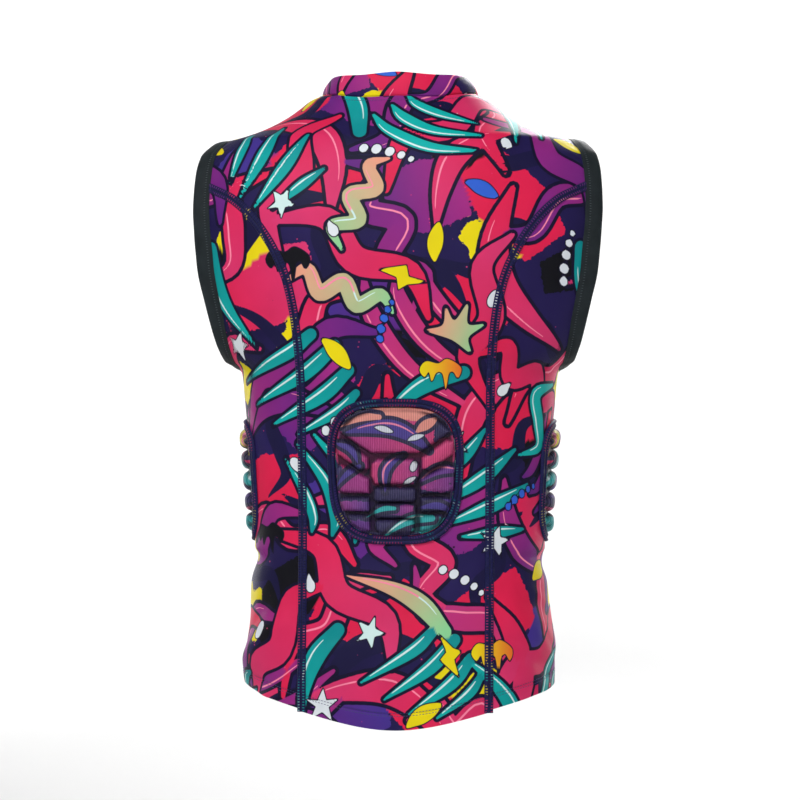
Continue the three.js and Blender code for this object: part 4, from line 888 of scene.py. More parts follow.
def print_colour(shader):
    """The printed picture, from the distances to the shapes of each layer, with scattered specks of ink."""
    ground = shader.blend(shader.noise(9), rgba("#141132"), rgba("#2c2160"))
    grain = shader.noise(240, 4, flat=True)
    for k, outline in enumerate(OUTLINES):
        distance = shader.number(f"cut_{k}")
        if k == 0:
            distance = shader.math("MULTIPLY_ADD", grain, 7.0, shader.math("SUBTRACT", distance, 3.5))
        if outline:
            ground = shader.blend(shader.within(distance, outline), ground, rgba("#15112f"))
        ground = shader.blend(shader.within(distance), ground, shader.colour(f"ink_{k}"))
        if k == 1:
            ground = shader.blend(shader.specks(150, 0.1, 0.58), ground, rgba("#e8407c"))
            ground = shader.blend(shader.specks(110, 0.12, 0.66), ground, rgba("#12121c"))
    off = shader.math("ABSOLUTE", shader.number("shine_off"))
    off = shader.math("SUBTRACT", off, shader.number("shine_wide"))
    ground = shader.blend(shader.within(off), ground, shader.colour("shine_ink"))
    return shader.blend(shader.specks(95, 0.07, 0.72), ground, rgba("#dfe6ee"))


def knit_height(shader, wale=0.55, course=0.45):
    """Fine stretch knit: upright wales of stitches, crossed by their courses, half a millimetre apart."""
    across, up = shader.flat_place()
    wales = shader.math("SINE", shader.math("MULTIPLY", across, 2 * np.pi / wale))
    shifted = shader.math("MULTIPLY_ADD", wales, 0.12, up)
    courses = shader.math("SINE", shader.math("MULTIPLY", shifted, 2 * np.pi / course))
    return shader.math("MULTIPLY_ADD", courses, 0.5, wales)


def printed_cloth():
    shader = Shader("printed stretch knit", Roughness=0.5, Specular_IOR_Level=0.12, Sheen_Weight=0.02,
                    Sheen_Roughness=0.3)
    colour = print_colour(shader)
    shade = shader.math("MULTIPLY_ADD", shader.noise(26), 0.22, 0.86)
    shader.paint(shader.add("ShaderNodeHueSaturation", {"Color": colour, "Value": shade}))
    shader.relief(knit_height(shader), 0.2, 0.1)
    return shader.material


def brushed_inside():
    shader = Shader("brushed pale inside", Roughness=0.95, Specular_IOR_Level=0.15, Sheen_Weight=0.3)
    fuzz = shader.noise(900, 3)
    shader.paint(shader.blend(fuzz, rgba("#cfccd6"), rgba("#e6e4ea")))
    shader.relief(fuzz, 0.3, 0.3)
    return shader.material


cloth, cloth_inside = printed_cloth(), brushed_inside()


def hem_relief(up):
    """The hem's second layer and the line that its stitches draw in."""
    layer = 0.35 * (1 - smooth(up, HEM_DEPTH - 1, HEM_DEPTH + 1.5))
    return layer - 0.75 * np.exp(-((up - HEM_DEPTH) / 1.1) ** 2)


def panel_relief(grid, point):
    turn = turn_of(point)
    relief = hem_relief(point[..., 2] - hem_level(turn))
    along = np.linspace(0, 1, grid.shape[0])[:, None]
    pucker = np.sin(along * 260 + np.sin(along * 57) * 2.0) * 0.22
    for edge, inner in ((0, 1), (-1, -2)):
        away = np.linalg.norm(grid - grid[:, edge][:, None], axis=-1)
        relief = relief + pucker * np.exp(-((away - 7) / 7) ** 2) * (away > 4)
    return relief


def make_panel(name, grid, face):
    grid = drawn_in(grid)
    point, _ = onto_form(grid)
    points, outs = skin(grid, panel_relief(grid, point))
    u, v = flat_place(point, face)
    if face > 0:
        u = u + REPEAT / 2
    piece = laid_cloth(name, points, outs, (u, v), printed(u, v))
    piece.data.materials.append(cloth)
    piece.data.materials.append(cloth_inside)
    apply_wall(piece, points - outs * WALL, inside=1)
    np.ptp(u) * MM
    np.ptp(v) * MM
    return piece


back = make_panel("back_cloth", body_panel(-1), -1)
finish_piece(back, "printed_cloth", "back_panel")


# Front panel
# The middle of the front, cut and hemmed as the back is, from another part of the same printed cloth,
# so that the print doesn't run on across the front seams.

HEM_ROWS, SEAM_ROWS, ARM_ROWS = 18, 140, 34
SHOULDER_COLUMNS, NECK_COLUMNS = 20, 70
seam_shares = np.concatenate([np.linspace(0, hem_share, HEM_ROWS, endpoint=False),
                              np.linspace(hem_share, 1, SEAM_ROWS + 1)])


def eased(grid, rounds, foot):
    """Evens out the cells near the neck, where rows and columns crowd, along the form."""
    grid = onto_form(grid)[0]
    for _ in range(rounds):
        upper = grid[foot:]
        middle = (upper[:-2, 1:-1] + upper[2:, 1:-1] + upper[1:-1, :-2] + upper[1:-1, 2:]) / 4
        upper[1:-1, 1:-1] = onto_form(middle, 1)[0]
    return grid


front = make_panel("front_cloth", eased(body_panel(1), 50, len(seam_shares) * 2 // 3), 1)
finish_piece(front, "printed_cloth", "front_panel")


# Side panels
# Each flank is one piece that runs from the hem up to the armhole, from the back princess seam round
# the ribs to the front one. On the real shirt these panels carry the rib pads.

SIDE_COLUMNS = 118


def side_panel(side):
    z_foot = [princess_seam(side, face, 0.0)[..., 2] for face in (-1, 1)]

    def seam_turns(z):
        return [turn_of(princess_seam(side, face, (z - foot) / (-SEAM_JOIN_DROP - foot)))
                for face, foot in zip((-1, 1), z_foot)]

    def share_at(around):
        top = armhole(around, side)
        a, b = seam_turns(top[:, 2])
        return top, np.clip((turn_of(top) - a) / (b - a), 0, 1)

    around = np.linspace(join_turn, 2 * np.pi - join_turn, 1001)
    step = np.maximum.accumulate(share_at(around)[1]) * 0.6 + np.linspace(0, 0.4, 1001)
    around = np.interp(np.linspace(step[0], step[-1], SIDE_COLUMNS + 1), step, around)
    top, share = share_at(around)
    share[0], share[-1] = 0, 1
    a, b = seam_turns(np.full_like(share, -(BODY_LENGTH - HEM_RISE)))
    z = mix(hem_level(mix(a, b, share))[None], top[None, :, 2], seam_shares[:, None])
    a, b = seam_turns(z)
    grid = turned_point(mix(a, b, share[None]), z)
    grid[-1] = top
    for column, face in ((0, -1), (-1, 1)):
        grid[:, column] = princess_seam(side, face, seam_shares)
    return grid


for hand, side in (("left", -1), ("right", 1)):
    flank = make_panel(f"side_cloth_{hand}", side_panel(side), -1)
    finish_piece(flank, "printed_cloth", f"side_panel_{hand}")


# Princess seams
# Four seams join the middle panels to the flanks, from the armholes down to the hem. Each is a flat
# covered seam: the cut edges meet under a band of navy thread, worked as two rows of ladder stitches.

LADDER_PITCH = 2.7
BAND_STEP, BAND_COLUMNS = 0.65, 10
deep_navy = rgba("#0b0b26")


def ladder_relief(across, along, half):
    away = np.abs(across)
    rung = (0.5 + 0.5 * np.cos(along * 2 * np.pi / LADDER_PITCH)) ** 0.7
    row = smooth(away, 0.7, 1.3) * (1 - smooth(away, half - 0.9, half - 0.2))
    lines = np.exp(-((away - 0.95) / 0.35) ** 2) + np.exp(-((away - half + 0.7) / 0.35) ** 2)
    return 0.42 * row * rung + 0.2 * lines - 0.3 * np.exp(-(away / 0.6) ** 2)


def ladder_stitches(name, half, show=1.0):
    """Navy thread in two ladders; the printed cloth shows dimly between the rungs."""
    shader = Shader(name, Roughness=0.6, Specular_IOR_Level=0.16, Sheen_Weight=0.05)
    along, across = shader.flat_place()
    away = shader.math("ABSOLUTE", across)
    rung = shader.math("COSINE", shader.math("MULTIPLY", along, 2 * np.pi / LADDER_PITCH))
    rung = shader.math("MULTIPLY_ADD", rung, 2.2, 1.5, clamp=True)
    between = shader.math("ABSOLUTE", shader.math("SUBTRACT", away, half * 0.58))
    gaps = shader.math("MULTIPLY", shader.within(between, half * 0.22), shader.math("SUBTRACT", 1.0, rung))
    twist = shader.noise(1500, 2, flat=True)
    groove = shader.within(away, 0.35, 0.5)
    thread = shader.blend(twist, rgba("#0c0c30"), rgba("#1e1f58"))
    thread = shader.blend(groove, thread, deep_navy)
    dim = shader.blend(0.2, print_colour(shader), deep_navy)
    shader.paint(shader.blend(shader.math("MULTIPLY", gaps, 0.75 * show), thread, dim))
    shader.relief(shader.math("ADD", twist, shader.math("MULTIPLY", rung, 0.8)), 0.5, 0.25)
    return shader.material


seam_thread = ladder_stitches("navy ladder stitches", SEAM_BAND_WIDTH / 2)


def way_walked(line):
    return np.concatenate([[0], np.cumsum(np.linalg.norm(np.diff(line, axis=0), axis=1))])


def evenly(line, step, closed=False):
    """Points at even steps along a line, with the way walked to each."""
    if closed:
        line = np.concatenate([line, line[:1]])
    walked = way_walked(line)
    count = int(round(walked[-1] / step))
    at = np.linspace(0, walked[-1], count + 1)[:count if closed else None]
    return np.stack([np.interp(at, walked, line[:, k]) for k in range(3)], 1), at


for hand, side in (("left", -1), ("right", 1)):
    for face, where in ((-1, "back"), (1, "front")):
        middle, along = evenly(princess_seam(side, face, np.linspace(0, 1, 4001)), BAND_STEP)
        way = unit(np.gradient(middle, axis=0))
        across = unit(np.cross(way, onto_form(middle)[1]))
        rim = unit(armhole(join_turn * -face + 0.02, side) - armhole(join_turn * -face - 0.02, side))
        slant = rim / (rim * across[-1]).sum()
        across = mix(across, slant, smooth(along, along[-1] - 16, along[-1] - 1)[:, None])
        offsets = np.linspace(-0.5, 0.5, BAND_COLUMNS + 1) * SEAM_BAND_WIDTH
        grid = middle[:, None] + across[:, None] * offsets[None, :, None]
        crown = 1 - np.abs(offsets / offsets[-1]) ** 5
        crown = crown + ladder_relief(offsets, along[:, None], offsets[-1])
        sunk = 1 - 0.75 * smooth(along, along[-1] - 5, along[-1] - 1)[:, None]
        points, outs = skin(grid, 0.6 + crown * sunk)
        u, v = flat_place(onto_form(grid)[0], face)
        numbers = printed(u + (REPEAT / 2 if face > 0 else 0), v)
        band = laid_cloth(f"{where}_seam_band_{hand}", points, outs, (along[:, None], offsets[None]), numbers)
        band.data.materials.append(seam_thread)
        apply_wall(band, points - outs * 0.5)
        finish_piece(band, "seam_thread", f"{where}_seam_{hand}")


# Armhole bindings
# Wide charcoal elastic tape, folded in half over the cloth's raw edge and sewn through with one row of
# narrow cover stitches. It is stretched a little as it is sewn, so it stands out along the arm.

BINDING_REACH, BINDING_BOW, BINDING_LIP = 16, 0.8, 1.5
BINDING_ROUND = 300
binding_reach = curve_through([(arm_level(along), BINDING_REACH * reach) for along, _, reach in ARMHOLE])


def binding_frame(turns, side):
    near = armhole(turns, side)
    along = unit(armhole(turns + 0.02, side) - armhole(turns - 0.02, side))
    _, out = onto_form(near)
    on_cloth = unit(np.cross(along, out))
    on_cloth *= np.sign(on_cloth[:, :1]) * side
    way = unit(on_cloth + (side, 0, 0))
    reach = binding_reach(near[:, 2]) / np.abs(way[:, 0])
    up = unit(out - way * (out * way).sum(-1, keepdims=True))
    return near, on_cloth, way, reach, out, up


def binding_place(frame_at, reach_by, height):
    """A point at a distance past the cloth's edge, or short of it over the cloth, and a height."""
    near, on_cloth, way, reach, out, up = frame_at
    if reach_by < 0:
        return near + on_cloth * reach_by + out * height
    return near + way * (reach * reach_by)[:, None] + up * height


def binding_profile():
    shares = np.linspace(0.02, 0.9, 13)
    swell = BINDING_BOW * np.sin(np.pi * shares)
    stitched = 0.3 * np.exp(-((shares * BINDING_REACH - 3.6) / 0.9) ** 2)
    top = [(s, mix(0.85, 0.4, s) + b - d) for s, b, d in zip(shares, swell, stitched)]
    low = [(s, -WALL - mix(0.85, 0.4, s) + b + d) for s, b, d in zip(shares, swell, stitched)]
    fold = [(0.9 + 0.1 * np.sin(a), -0.7 + 0.24 * np.cos(a) + 0.95 * np.cos(a))
            for a in np.radians((20, 45, 70, 90, 110, 135, 160))]
    lip = [(-BINDING_LIP, 0.15), (-BINDING_LIP - 0.15, 0.45), (-BINDING_LIP + 0.15, 0.75), (-0.4, 0.85)]
    lower_lip = [(s, -WALL - h) for s, h in lip[::-1]]
    return [*lip, *top, *fold, *low[::-1], *lower_lip, (0.012, -WALL - 0.15), (0.012, 0.15)]


def laid_ring(name, rings, flat, round_length, numbers=None):
    """A grid primitive laid through closed rings of points, one for each place round a loop, and closed."""
    def lapped(values):
        return np.concatenate([values, values[:1]]) if values.ndim == 1 else np.pad(
            values, ((0, 1), (0, 1)) + ((0, 0),) * (values.ndim - 2), mode="wrap")

    around, across = (lapped(np.array(np.broadcast_to(side, rings.shape[:2]))) for side in flat)
    around[-1] += round_length
    points = lapped(rings)
    piece = laid_cloth(name, points, np.zeros_like(points), (around, across),
                       {key: lapped(values) for key, values in (numbers or {}).items()})
    bpy.ops.object.mode_set(mode="EDIT")
    bpy.ops.mesh.select_all(action="SELECT")
    bpy.ops.mesh.remove_doubles(threshold=0.01 * MM)
    bpy.ops.mesh.normals_make_consistent(inside=False)
    bpy.ops.object.mode_set(mode="OBJECT")
    return piece


def stitch_row(name, centres, ways, outs, length, radius):
    """One small capsule for each stitch, copied along a row and joined."""
    clear_choice()
    bpy.ops.mesh.primitive_uv_sphere_add(segments=5, ring_count=4, radius=1)
    first = bpy.context.object
    shape = np.array([v.co for v in first.data.vertices])
    faces = [list(f.vertices) for f in first.data.polygons]
    bpy.data.objects.remove(first)
    axes = np.cross(outs, ways) * radius, outs * radius, ways * length / 2
    offsets = sum(way[:, None] * shape[None, :, k:k + 1] for k, way in enumerate(axes))
    points = (centres[:, None] + offsets) * MM
    mesh = bpy.data.meshes.new(name)
    count = len(shape)
    mesh.from_pydata(points.reshape(-1, 3), [], [[i + k * count for i in f] for k in range(len(centres))
                                                 for f in faces])
    piece = bpy.data.objects.new(name, mesh)
    bpy.context.scene.collection.objects.link(piece)
    return piece


def spun_thread(name, hex_colour):
    shader = Shader(name, Roughness=0.55, Specular_IOR_Level=0.35, Sheen_Weight=0.2)
    fibre = shader.noise(2600, 2)
    shader.paint(shader.blend(fibre, rgba(hex_colour, 0.7), rgba(hex_colour, 1.25)))
    shader.relief(fibre, 0.4, 0.1)
    return shader.material


def charcoal_elastic():
    """Ribbed elastic: fine cords along the tape, crossed by its knitted courses."""
    shader = Shader("charcoal elastic tape", Roughness=0.65, Specular_IOR_Level=0.2, Sheen_Weight=0.06,
                    Sheen_Roughness=0.4)
    along, across = shader.flat_place()
    cords = shader.math("SINE", shader.math("MULTIPLY", across, 2 * np.pi / 0.9))
    courses = shader.math("SINE", shader.math("MULTIPLY", along, 2 * np.pi / 0.7))
    weave = shader.math("MULTIPLY_ADD", courses, 0.35, cords)
    tone = shader.math("MULTIPLY_ADD", weave, 0.12, shader.noise(60))
    shader.paint(shader.blend(tone, rgba("#11171a"), rgba("#262f33")))
    shader.relief(weave, 0.35, 0.12)
    return shader.material


elastic, binding_thread = charcoal_elastic(), spun_thread("charcoal thread", "#3a4347")
for hand, side in (("left", -1), ("right", 1)):
    turns = np.linspace(0, 2 * np.pi, BINDING_ROUND, endpoint=False)
    edge = binding_frame(turns, side)
    profile = binding_profile()
    rings = np.stack([binding_place(edge, s, h) for s, h in profile], 1)
    walked = way_walked(rings[:, 8])
    total = walked[-1] + np.linalg.norm(rings[0, 8] - rings[-1, 8])
    wide = np.array([s * BINDING_REACH if s > 0 else s for s, _ in profile])
    tape = laid_ring(f"armhole_tape_{hand}", rings, (walked[:, None], wide[None]), total)
    tape.data.materials.append(elastic)
    finish_piece(tape, "binding_elastic", f"armhole_binding_{hand}")

    fine = np.linspace(0, 2 * np.pi, 4000, endpoint=False)
    sewn_at = mix(0.85, 0.4, 0.22)
    for face, height in (("outer", sewn_at + 0.28), ("inner", -WALL - sewn_at + 0.75)):
        near, on_cloth, way, reach, out, up = binding_frame(fine, side)
        line = near + way * 3.6 + up * height
        keep = np.searchsorted(way_walked(line), np.arange(0, total - 1.3, 2.6))
        keep = keep[keep < len(fine)]
        sewn = stitch_row(f"{face}_tape_stitches_{hand}", line[keep], way[keep], up[keep], 2.3, 0.3)
        sewn.data.materials.append(binding_thread)
        finish_piece(sewn, "binding_elastic")


# Stand collar
# A low collar of the printed cloth, doubled, with its fold at the top. It is joined to the neck hole
# by a seam whose allowance is turned down inside and held by one row of top stitches on the body.

COLLAR = dict(height=24, side_height=16, side_lean=10, back_lean=3, front_lean=6, wall=2)
COLLAR_ROUND = 370
COLLAR_CUT = dict(across=100, up=-140)


def collar_rings(turns):
    foot = neck_edge(turns)
    away = unit(np.stack([foot[:, 0] / NECK_HOLE["half_width"],
                          (foot[:, 1] - NECK_HOLE["forward"]) / NECK_HOLE["half_depth"], 0 * turns], 1))
    sideways = np.sin(turns) ** 2
    lean = np.where(np.cos(turns) > 0, COLLAR["back_lean"], COLLAR["front_lean"])
    lean = mix(lean, COLLAR["side_lean"], sideways)
    rise = mix(COLLAR["height"], COLLAR["side_height"], sideways)
    foot_rise = PIECE_GAP + WALL * 0.5

    def at(up, off, height=0.0):
        bow = np.sin(np.pi * np.clip(up, 0, 1)) * COLLAR["wall"] * 0.5
        inward = np.maximum(up, 0) ** 1.32
        level = foot_rise + (rise - foot_rise) * up + height
        return foot + away * (bow - lean * inward - off)[:, None] + np.stack([0 * rise, 0 * rise, level], 1)

    wall = COLLAR["wall"]
    heights = np.linspace(0.04, 0.93, 10)
    outer = [at(0, 0.9, -0.5), at(0, 0.25, -0.1), *(at(h, 0) for h in heights)]
    fold = [at(0.955 + 0.045 * np.sin(a), wall * 0.5 * (1 - np.cos(a)))
            for a in np.radians((30, 60, 90, 120, 150))]
    inner = [at(h, wall) for h in heights[::-1]]
    allowance = [at(0, wall, -1), at(0, wall + 0.2, -7), at(0, wall - 0.5, -7)]
    return np.stack(outer + fold + inner + allowance, 1)


turns = np.linspace(np.pi, 3 * np.pi, COLLAR_ROUND, endpoint=False)
rings = collar_rings(turns)
walked = way_walked(rings[:, 4])
total = walked[-1] + np.linalg.norm(rings[0, 4] - rings[-1, 4])
u = walked[:, None] - total / 2 + 0 * rings[..., 2]
v = rings[..., 2] - rings[:, :1, 2] + 0 * u
numbers = printed(u + COLLAR_CUT["across"], v * 1.6 + COLLAR_CUT["up"])
collar = laid_ring("collar_band", rings, (u, v), total, numbers)
collar.data.materials.append(cloth)
finish_piece(collar, "printed_cloth", "collar")

navy_thread = spun_thread("navy sewing thread", "#2a2a66")


def sewn_on_body(name, line, pitch, length, radius, lift, closed=True):
    """A row of stitches along a line on the cloth, each lying the way the row runs."""
    spots, _ = evenly(line, pitch, closed)
    ways = unit(np.roll(spots, -1, 0) - np.roll(spots, 1, 0) if closed else np.gradient(spots, axis=0))
    points, outs = skin(spots, lift)
    ways = unit(ways - outs * (ways * outs).sum(-1, keepdims=True))
    row = stitch_row(name, points, ways, outs, length, radius)
    row.data.materials.append(navy_thread)
    finish_piece(row, "seam_thread")


turns = np.linspace(0, 2 * np.pi, 1200, endpoint=False)
foot = neck_edge(turns)
away = unit(np.stack([foot[:, 0] / NECK_HOLE["half_width"],
                      (foot[:, 1] - NECK_HOLE["forward"]) / NECK_HOLE["half_depth"], 0 * turns], 1))
below = onto_form(foot + away * 3.2 - (0, 0, 3.2))[0]
sewn_on_body("collar_stitches", below, 3.0, 2.3, 0.32, 0.12)


# Hem
# The cloth's foot is turned up inside and held by two needles of a cover stitch, 13 mm above the edge,
# so two rows of short stitches run right round the shirt and dimple it.

around = np.linspace(0, 2 * np.pi, 3000, endpoint=False)
for row, up in enumerate((HEM_DEPTH - 1.4, HEM_DEPTH + 1.4)):
    line = turned_point(around, hem_level(around) + up)
    sewn_on_body(f"hem_stitches_{row + 1}", line, 3.1, 2.4, 0.3, 0.05 + 0.2 * (row == 0))


# Back pad
# A sheet of soft foam moulded into pillow blocks under a ribbed, printed stretch cover: one wide block
# over the top, four down the spine and four on each side, with narrow grooves so that it bends.

PAD_BASE, BLOCK_HEIGHT, PAD_TAPER = 3.3, 9, 0.1
BACK_PAD = dict(width=120, height=124, drop=372, power=3.2)
BACK_BLOCKS = [
    (True, [(0, 61), (22, 59.5), (38, 53), (53, 39.5), (39, 29), (23, 18.5)]),
    (True, [(18, 12.5), (23, 8), (23.5, -4), (20, -11.5)]),
    (True, [(18.5, -15.5), (20.5, -17.5), (20.5, -26), (18.5, -28)]),
    (True, [(18.5, -31.5), (20.5, -33.5), (20.5, -42), (18.5, -44)]),
    (True, [(17.5, -47), (19.5, -49), (18.5, -56), (15, -58.5)]),
    (False, [(25, 13), (50, 31.5), (56.5, 30), (55.5, 18), (32, 1.5), (25, 3)]),
    (False, [(24, -7), (52, 7.5), (57, 4.5), (56.5, -15), (51, -20), (24, -20.5)]),
    (False, [(24, -25), (51, -25), (53.5, -28), (49, -37.5), (24, -38)]),
    (False, [(23.5, -42), (45.5, -41.5), (42, -49.5), (32, -56.5), (23.5, -57)]),
]


def corner_reach(x, y, power):
    return (np.abs(x) ** power + np.abs(y) ** power) ** (-1 / power)


def rounded_point(u, v, pad):
    reach = np.maximum(np.maximum(np.abs(u), np.abs(v)), 1e-6)
    share = mix(1, corner_reach(u / reach, v / reach, pad["power"]), reach ** 3)
    taper = 1 - PAD_TAPER * (0.5 - 0.5 * v * share)
    return pad["width"] / 2 * taper * u * share, pad["height"] / 2 * v * share


def on_back(across, up, lift):
    z = up - BACK_PAD["drop"]
    return skin(np.stack([across, depth_at(across, z, -1), z], -1), lift, still=True)


def spine_blocks():
    for middle, corners in BACK_BLOCKS:
        right = np.array(corners, float)
        left = (right * (-1, 1))[::-1]
        if middle:
            yield np.concatenate([right, left[left[:, 0] < 0]])
        else:
            yield right
            yield left


def pillow(inside, edge=7.0):
    """Height of a moulded block, from the distance inside its outline: a round shoulder, then a dome."""
    t = np.clip(inside / edge, 0, 1)
    return np.sqrt(1 - (1 - t) ** 2) * 0.82 + 0.18 * (1 - np.exp(-np.maximum(inside, 0) / 9))


def pad_rim(u, v, pad):
    return (1 - np.maximum(np.abs(u), np.abs(v))) * min(pad["width"], pad["height"]) / 2


def foam_pad(name, pad, place, step, blocks, rows, node):
    """A pad moulded as one closed piece: blocks gives the distance inside the nearest block."""
    cols_rows = [int(round(pad[k] / step)) for k in ("width", "height")]
    u, v = np.meshgrid(*(np.linspace(-1, 1, n + 1) for n in cols_rows))
    x, y = rounded_point(u, v, pad)
    inside = blocks(u, v, x, y)
    high = pillow(inside)
    rim = np.sqrt(np.clip(1 - (1 - np.clip(pad_rim(u, v, pad) / 2.4, 0, 1)) ** 2, 0, 1))
    lift = mix(0.5, mix(PAD_BASE - 0.8, BLOCK_HEIGHT + 0.5, high), rim)
    points, outs = place(x, y, lift)
    low, _ = place(x, y, 0.3)
    numbers = printed(x, y, rows)
    # Painted shade mask: 1 down in the grooves, fading out 3.4 mm inside each block's edge, and kept off the
    # pad's rim.
    numbers["sunk"] = np.clip(1 - inside / 3.4, 0, 1) ** 1.8 * smooth(pad_rim(u, v, pad), 1.2, 3.2)
    piece = laid_cloth(name, points, outs, (x, y), numbers)
    piece.data.materials.append(pad_cover)
    apply_wall(piece, low)
    finish_piece(piece, "pad_cover", node)


def ribbed_cover():
    """Printed cover with fine upright ribs, with painted shade in their troughs and painted highlight on
    their crests, and painted shade in the grooves and just inside each block's edge.
    """
    shader = Shader("ribbed printed pad cover", Roughness=0.45, Specular_IOR_Level=0.3, Sheen_Weight=0.06,
                    Sheen_Roughness=0.3)
    across, _ = shader.flat_place()
    rib = shader.math("SINE", shader.math("MULTIPLY_ADD", across, 2 * np.pi / 1.7, shader.noise(40)))
    colour = print_colour(shader)
    # Painted shade and highlight on the ribs: the print darkens towards each rib's trough and pales on its
    # crest.
    print_with_rib_painted_shade = shader.blend(shader.math("MULTIPLY_ADD", rib, -0.2, 0.2), colour, rgba("#140f34"))
    print_with_rib_painted_light = shader.blend(shader.math("MULTIPLY_ADD", rib, 0.06, 0.06), print_with_rib_painted_shade, rgba("#b4afe0"))
    # Painted shade: the cover's colour is taken towards near-black where that mask is high.
    depth = shader.math("MULTIPLY", shader.number("sunk"), 0.88)
    shader.paint(shader.blend(depth, print_with_rib_painted_light, rgba("#12081e")))
    shader.relief(rib, 0.7, 0.25)
    return shader.material


PAD_PRINT = [
    (0, "slab", -10, 30, 52, 4, 0.8, "magenta", "rose"),
    (0, "slab", 0, 58, 44, -6, 0.36, "salmon", "salmon"),
    (0, "slab", 2, 2, 30, 8, 0.9, "rose", "magenta"),
    (0, "slab", 44, 18, 26, 24, 0.8, "rose", "rose"),
    (0, "slab", -44, 16, 26, -30, 0.8, "crimson", "magenta"),
    (0, "slab", 44, -8, 24, 0, 0.8, "magenta", "purple"),
    (0, "slab", -42, -12, 24, 0, 0.7, "magenta", "magenta"),
    (0, "slab", 8, -37, 20, 0, 0.4, "purple", "magenta"),
    (0, "slab", -40, -33, 22, 0, 0.4, "magenta", "violet"),
    (0, "slab", 40, -32, 20, 10, 0.4, "purple", "violet"),
    (0, "slab", 34, -52, 20, 0, 0.7, "teal", "sea"),
    (0, "slab", -36, -52, 18, 0, 0.5, "purple", "purple"),
    (2, "swoosh", -4, 40, 40, -14, 0.8, "violet", "violet"),
    (2, "leaf", 30, 46, 12, 30, 1.0, "salmon", "salmon"),
    (2, "blade", -34, 50, 20, 12, 1.0, "salmon", "salmon"),
    (2, "swoosh", -44, 22, 15, -40, 0.9, "violet", "violet"),
    (2, "swoosh", -6, 2, 20, 62, 1.0, "violet", "violet"),
    (2, "blade", -46, -4, 16, 40, 0.8, "violet", "violet"),
    (2, "swoosh", 42, 0, 22, 12, 0.8, "purple", "purple"),
    (2, "blade", 10, -52, 26, 18, 1.3, "teal", "teal"),
    (2, "blade", -14, -38, 14, 14, 1.2, "teal", "teal"),
    (2, "swoosh", 40, -34, 18, -12, 0.8, "violet", "violet"),
    (5, "oval", 18, 6, 5, -20, 1.0, "white", "white"),
    (5, "leaf", -10, 42, 9, -18, 0.8, "white", "white"),
    (5, "leaf", 20, 34, 8, 16, 0.8, "white", "white"),
    (5, "leaf", 14, -8, 7, 30, 0.8, "white", "white"),
]

pad_cover = ribbed_cover()


BLOCK_ROUND = 1.6


def inside_spine_blocks(u, v, x, y):
    flat_x, flat_y = x.ravel(), y.ravel()
    best = np.full(flat_x.shape, -20.0)
    for corners in spine_blocks():
        away = corners - corners.mean(0)
        drawn = corners - away * BLOCK_ROUND / np.linalg.norm(away, axis=1, keepdims=True)
        best = np.maximum(best, BLOCK_ROUND - to_outline(flat_x, flat_y, drawn))
    return best.reshape(x.shape)


foam_pad("spine_pad", BACK_PAD, on_back, 0.85, inside_spine_blocks, PAD_PRINT, "back_pad")


# Pad edges
# Each pad's flange is caught all round under a covered seam: a band of navy thread with two raised
# edges, worked over the flange and the cloth together.

PAD_BAND = dict(gap=0.3, width=8.2, rise=2.2)


def pad_outline(t, pad, grow):
    x, y = corner_reach(np.cos(t), np.sin(t), pad["power"]) * (np.cos(t), np.sin(t))
    taper = 1 - PAD_TAPER * (0.5 - 0.5 * y)
    return (pad["width"] / 2 * taper + grow) * x, (pad["height"] / 2 + grow) * y


def pad_band(name, pad, place, node, steps=480):
    start = np.linspace(0, 2 * np.pi, 4001)
    walked = way_walked(np.stack(pad_outline(start, pad, PAD_BAND["gap"] + PAD_BAND["width"] / 2), 1))
    rungs = round(walked[-1] / LADDER_PITCH)
    along = np.arange(steps) / steps * rungs * LADDER_PITCH
    t = np.interp(np.arange(steps) / steps * walked[-1], walked, start)
    half = PAD_BAND["width"] / 2
    shares = np.concatenate([np.linspace(0, 1, 19), np.linspace(0.92, 0.08, 5)])
    rings = []
    for k, share in enumerate(shares):
        across = (share - 0.5) * 2 * half
        if k < 19:
            crown = PAD_BAND["rise"] * (1 - np.abs(across / half) ** 4) ** 0.5
            ridge = 0.8 * np.exp(-((np.abs(across) - half * 0.62) / (half * 0.24)) ** 2)
            fade = 0.15 + 0.85 * (1 - abs(across / half))
            lift = 0.5 + crown + ridge + ladder_relief(across, along, half) * fade
        else:
            lift = np.full(steps, 0.45)
        rings.append(place(*pad_outline(t, pad, PAD_BAND["gap"] + PAD_BAND["width"] * share), lift)[0])
    across = (shares - 0.5) * 2 * half
    x, y = (np.repeat(side[:, None], len(shares), 1) for side in pad_outline(t, pad, PAD_BAND["gap"] + half))
    numbers = printed(x + 30, y - pad["drop"])
    band = laid_ring(name, np.stack(rings, 1), (along[:, None], across[None]), rungs * LADDER_PITCH, numbers)
    band.data.materials.append(pad_thread)
    finish_piece(band, "seam_thread", node)


pad_thread = ladder_stitches("navy ladder stitches round a pad", PAD_BAND["width"] / 2, 0.5)
pad_band("spine_pad_band", BACK_PAD, on_back, "back_pad_edge")


# Rib pads
# One pad on each flank, two columns of five round knobs of foam under the same ribbed cover, so that it
# bends round the ribs. From behind they show as a row of bumps along the shirt's side.

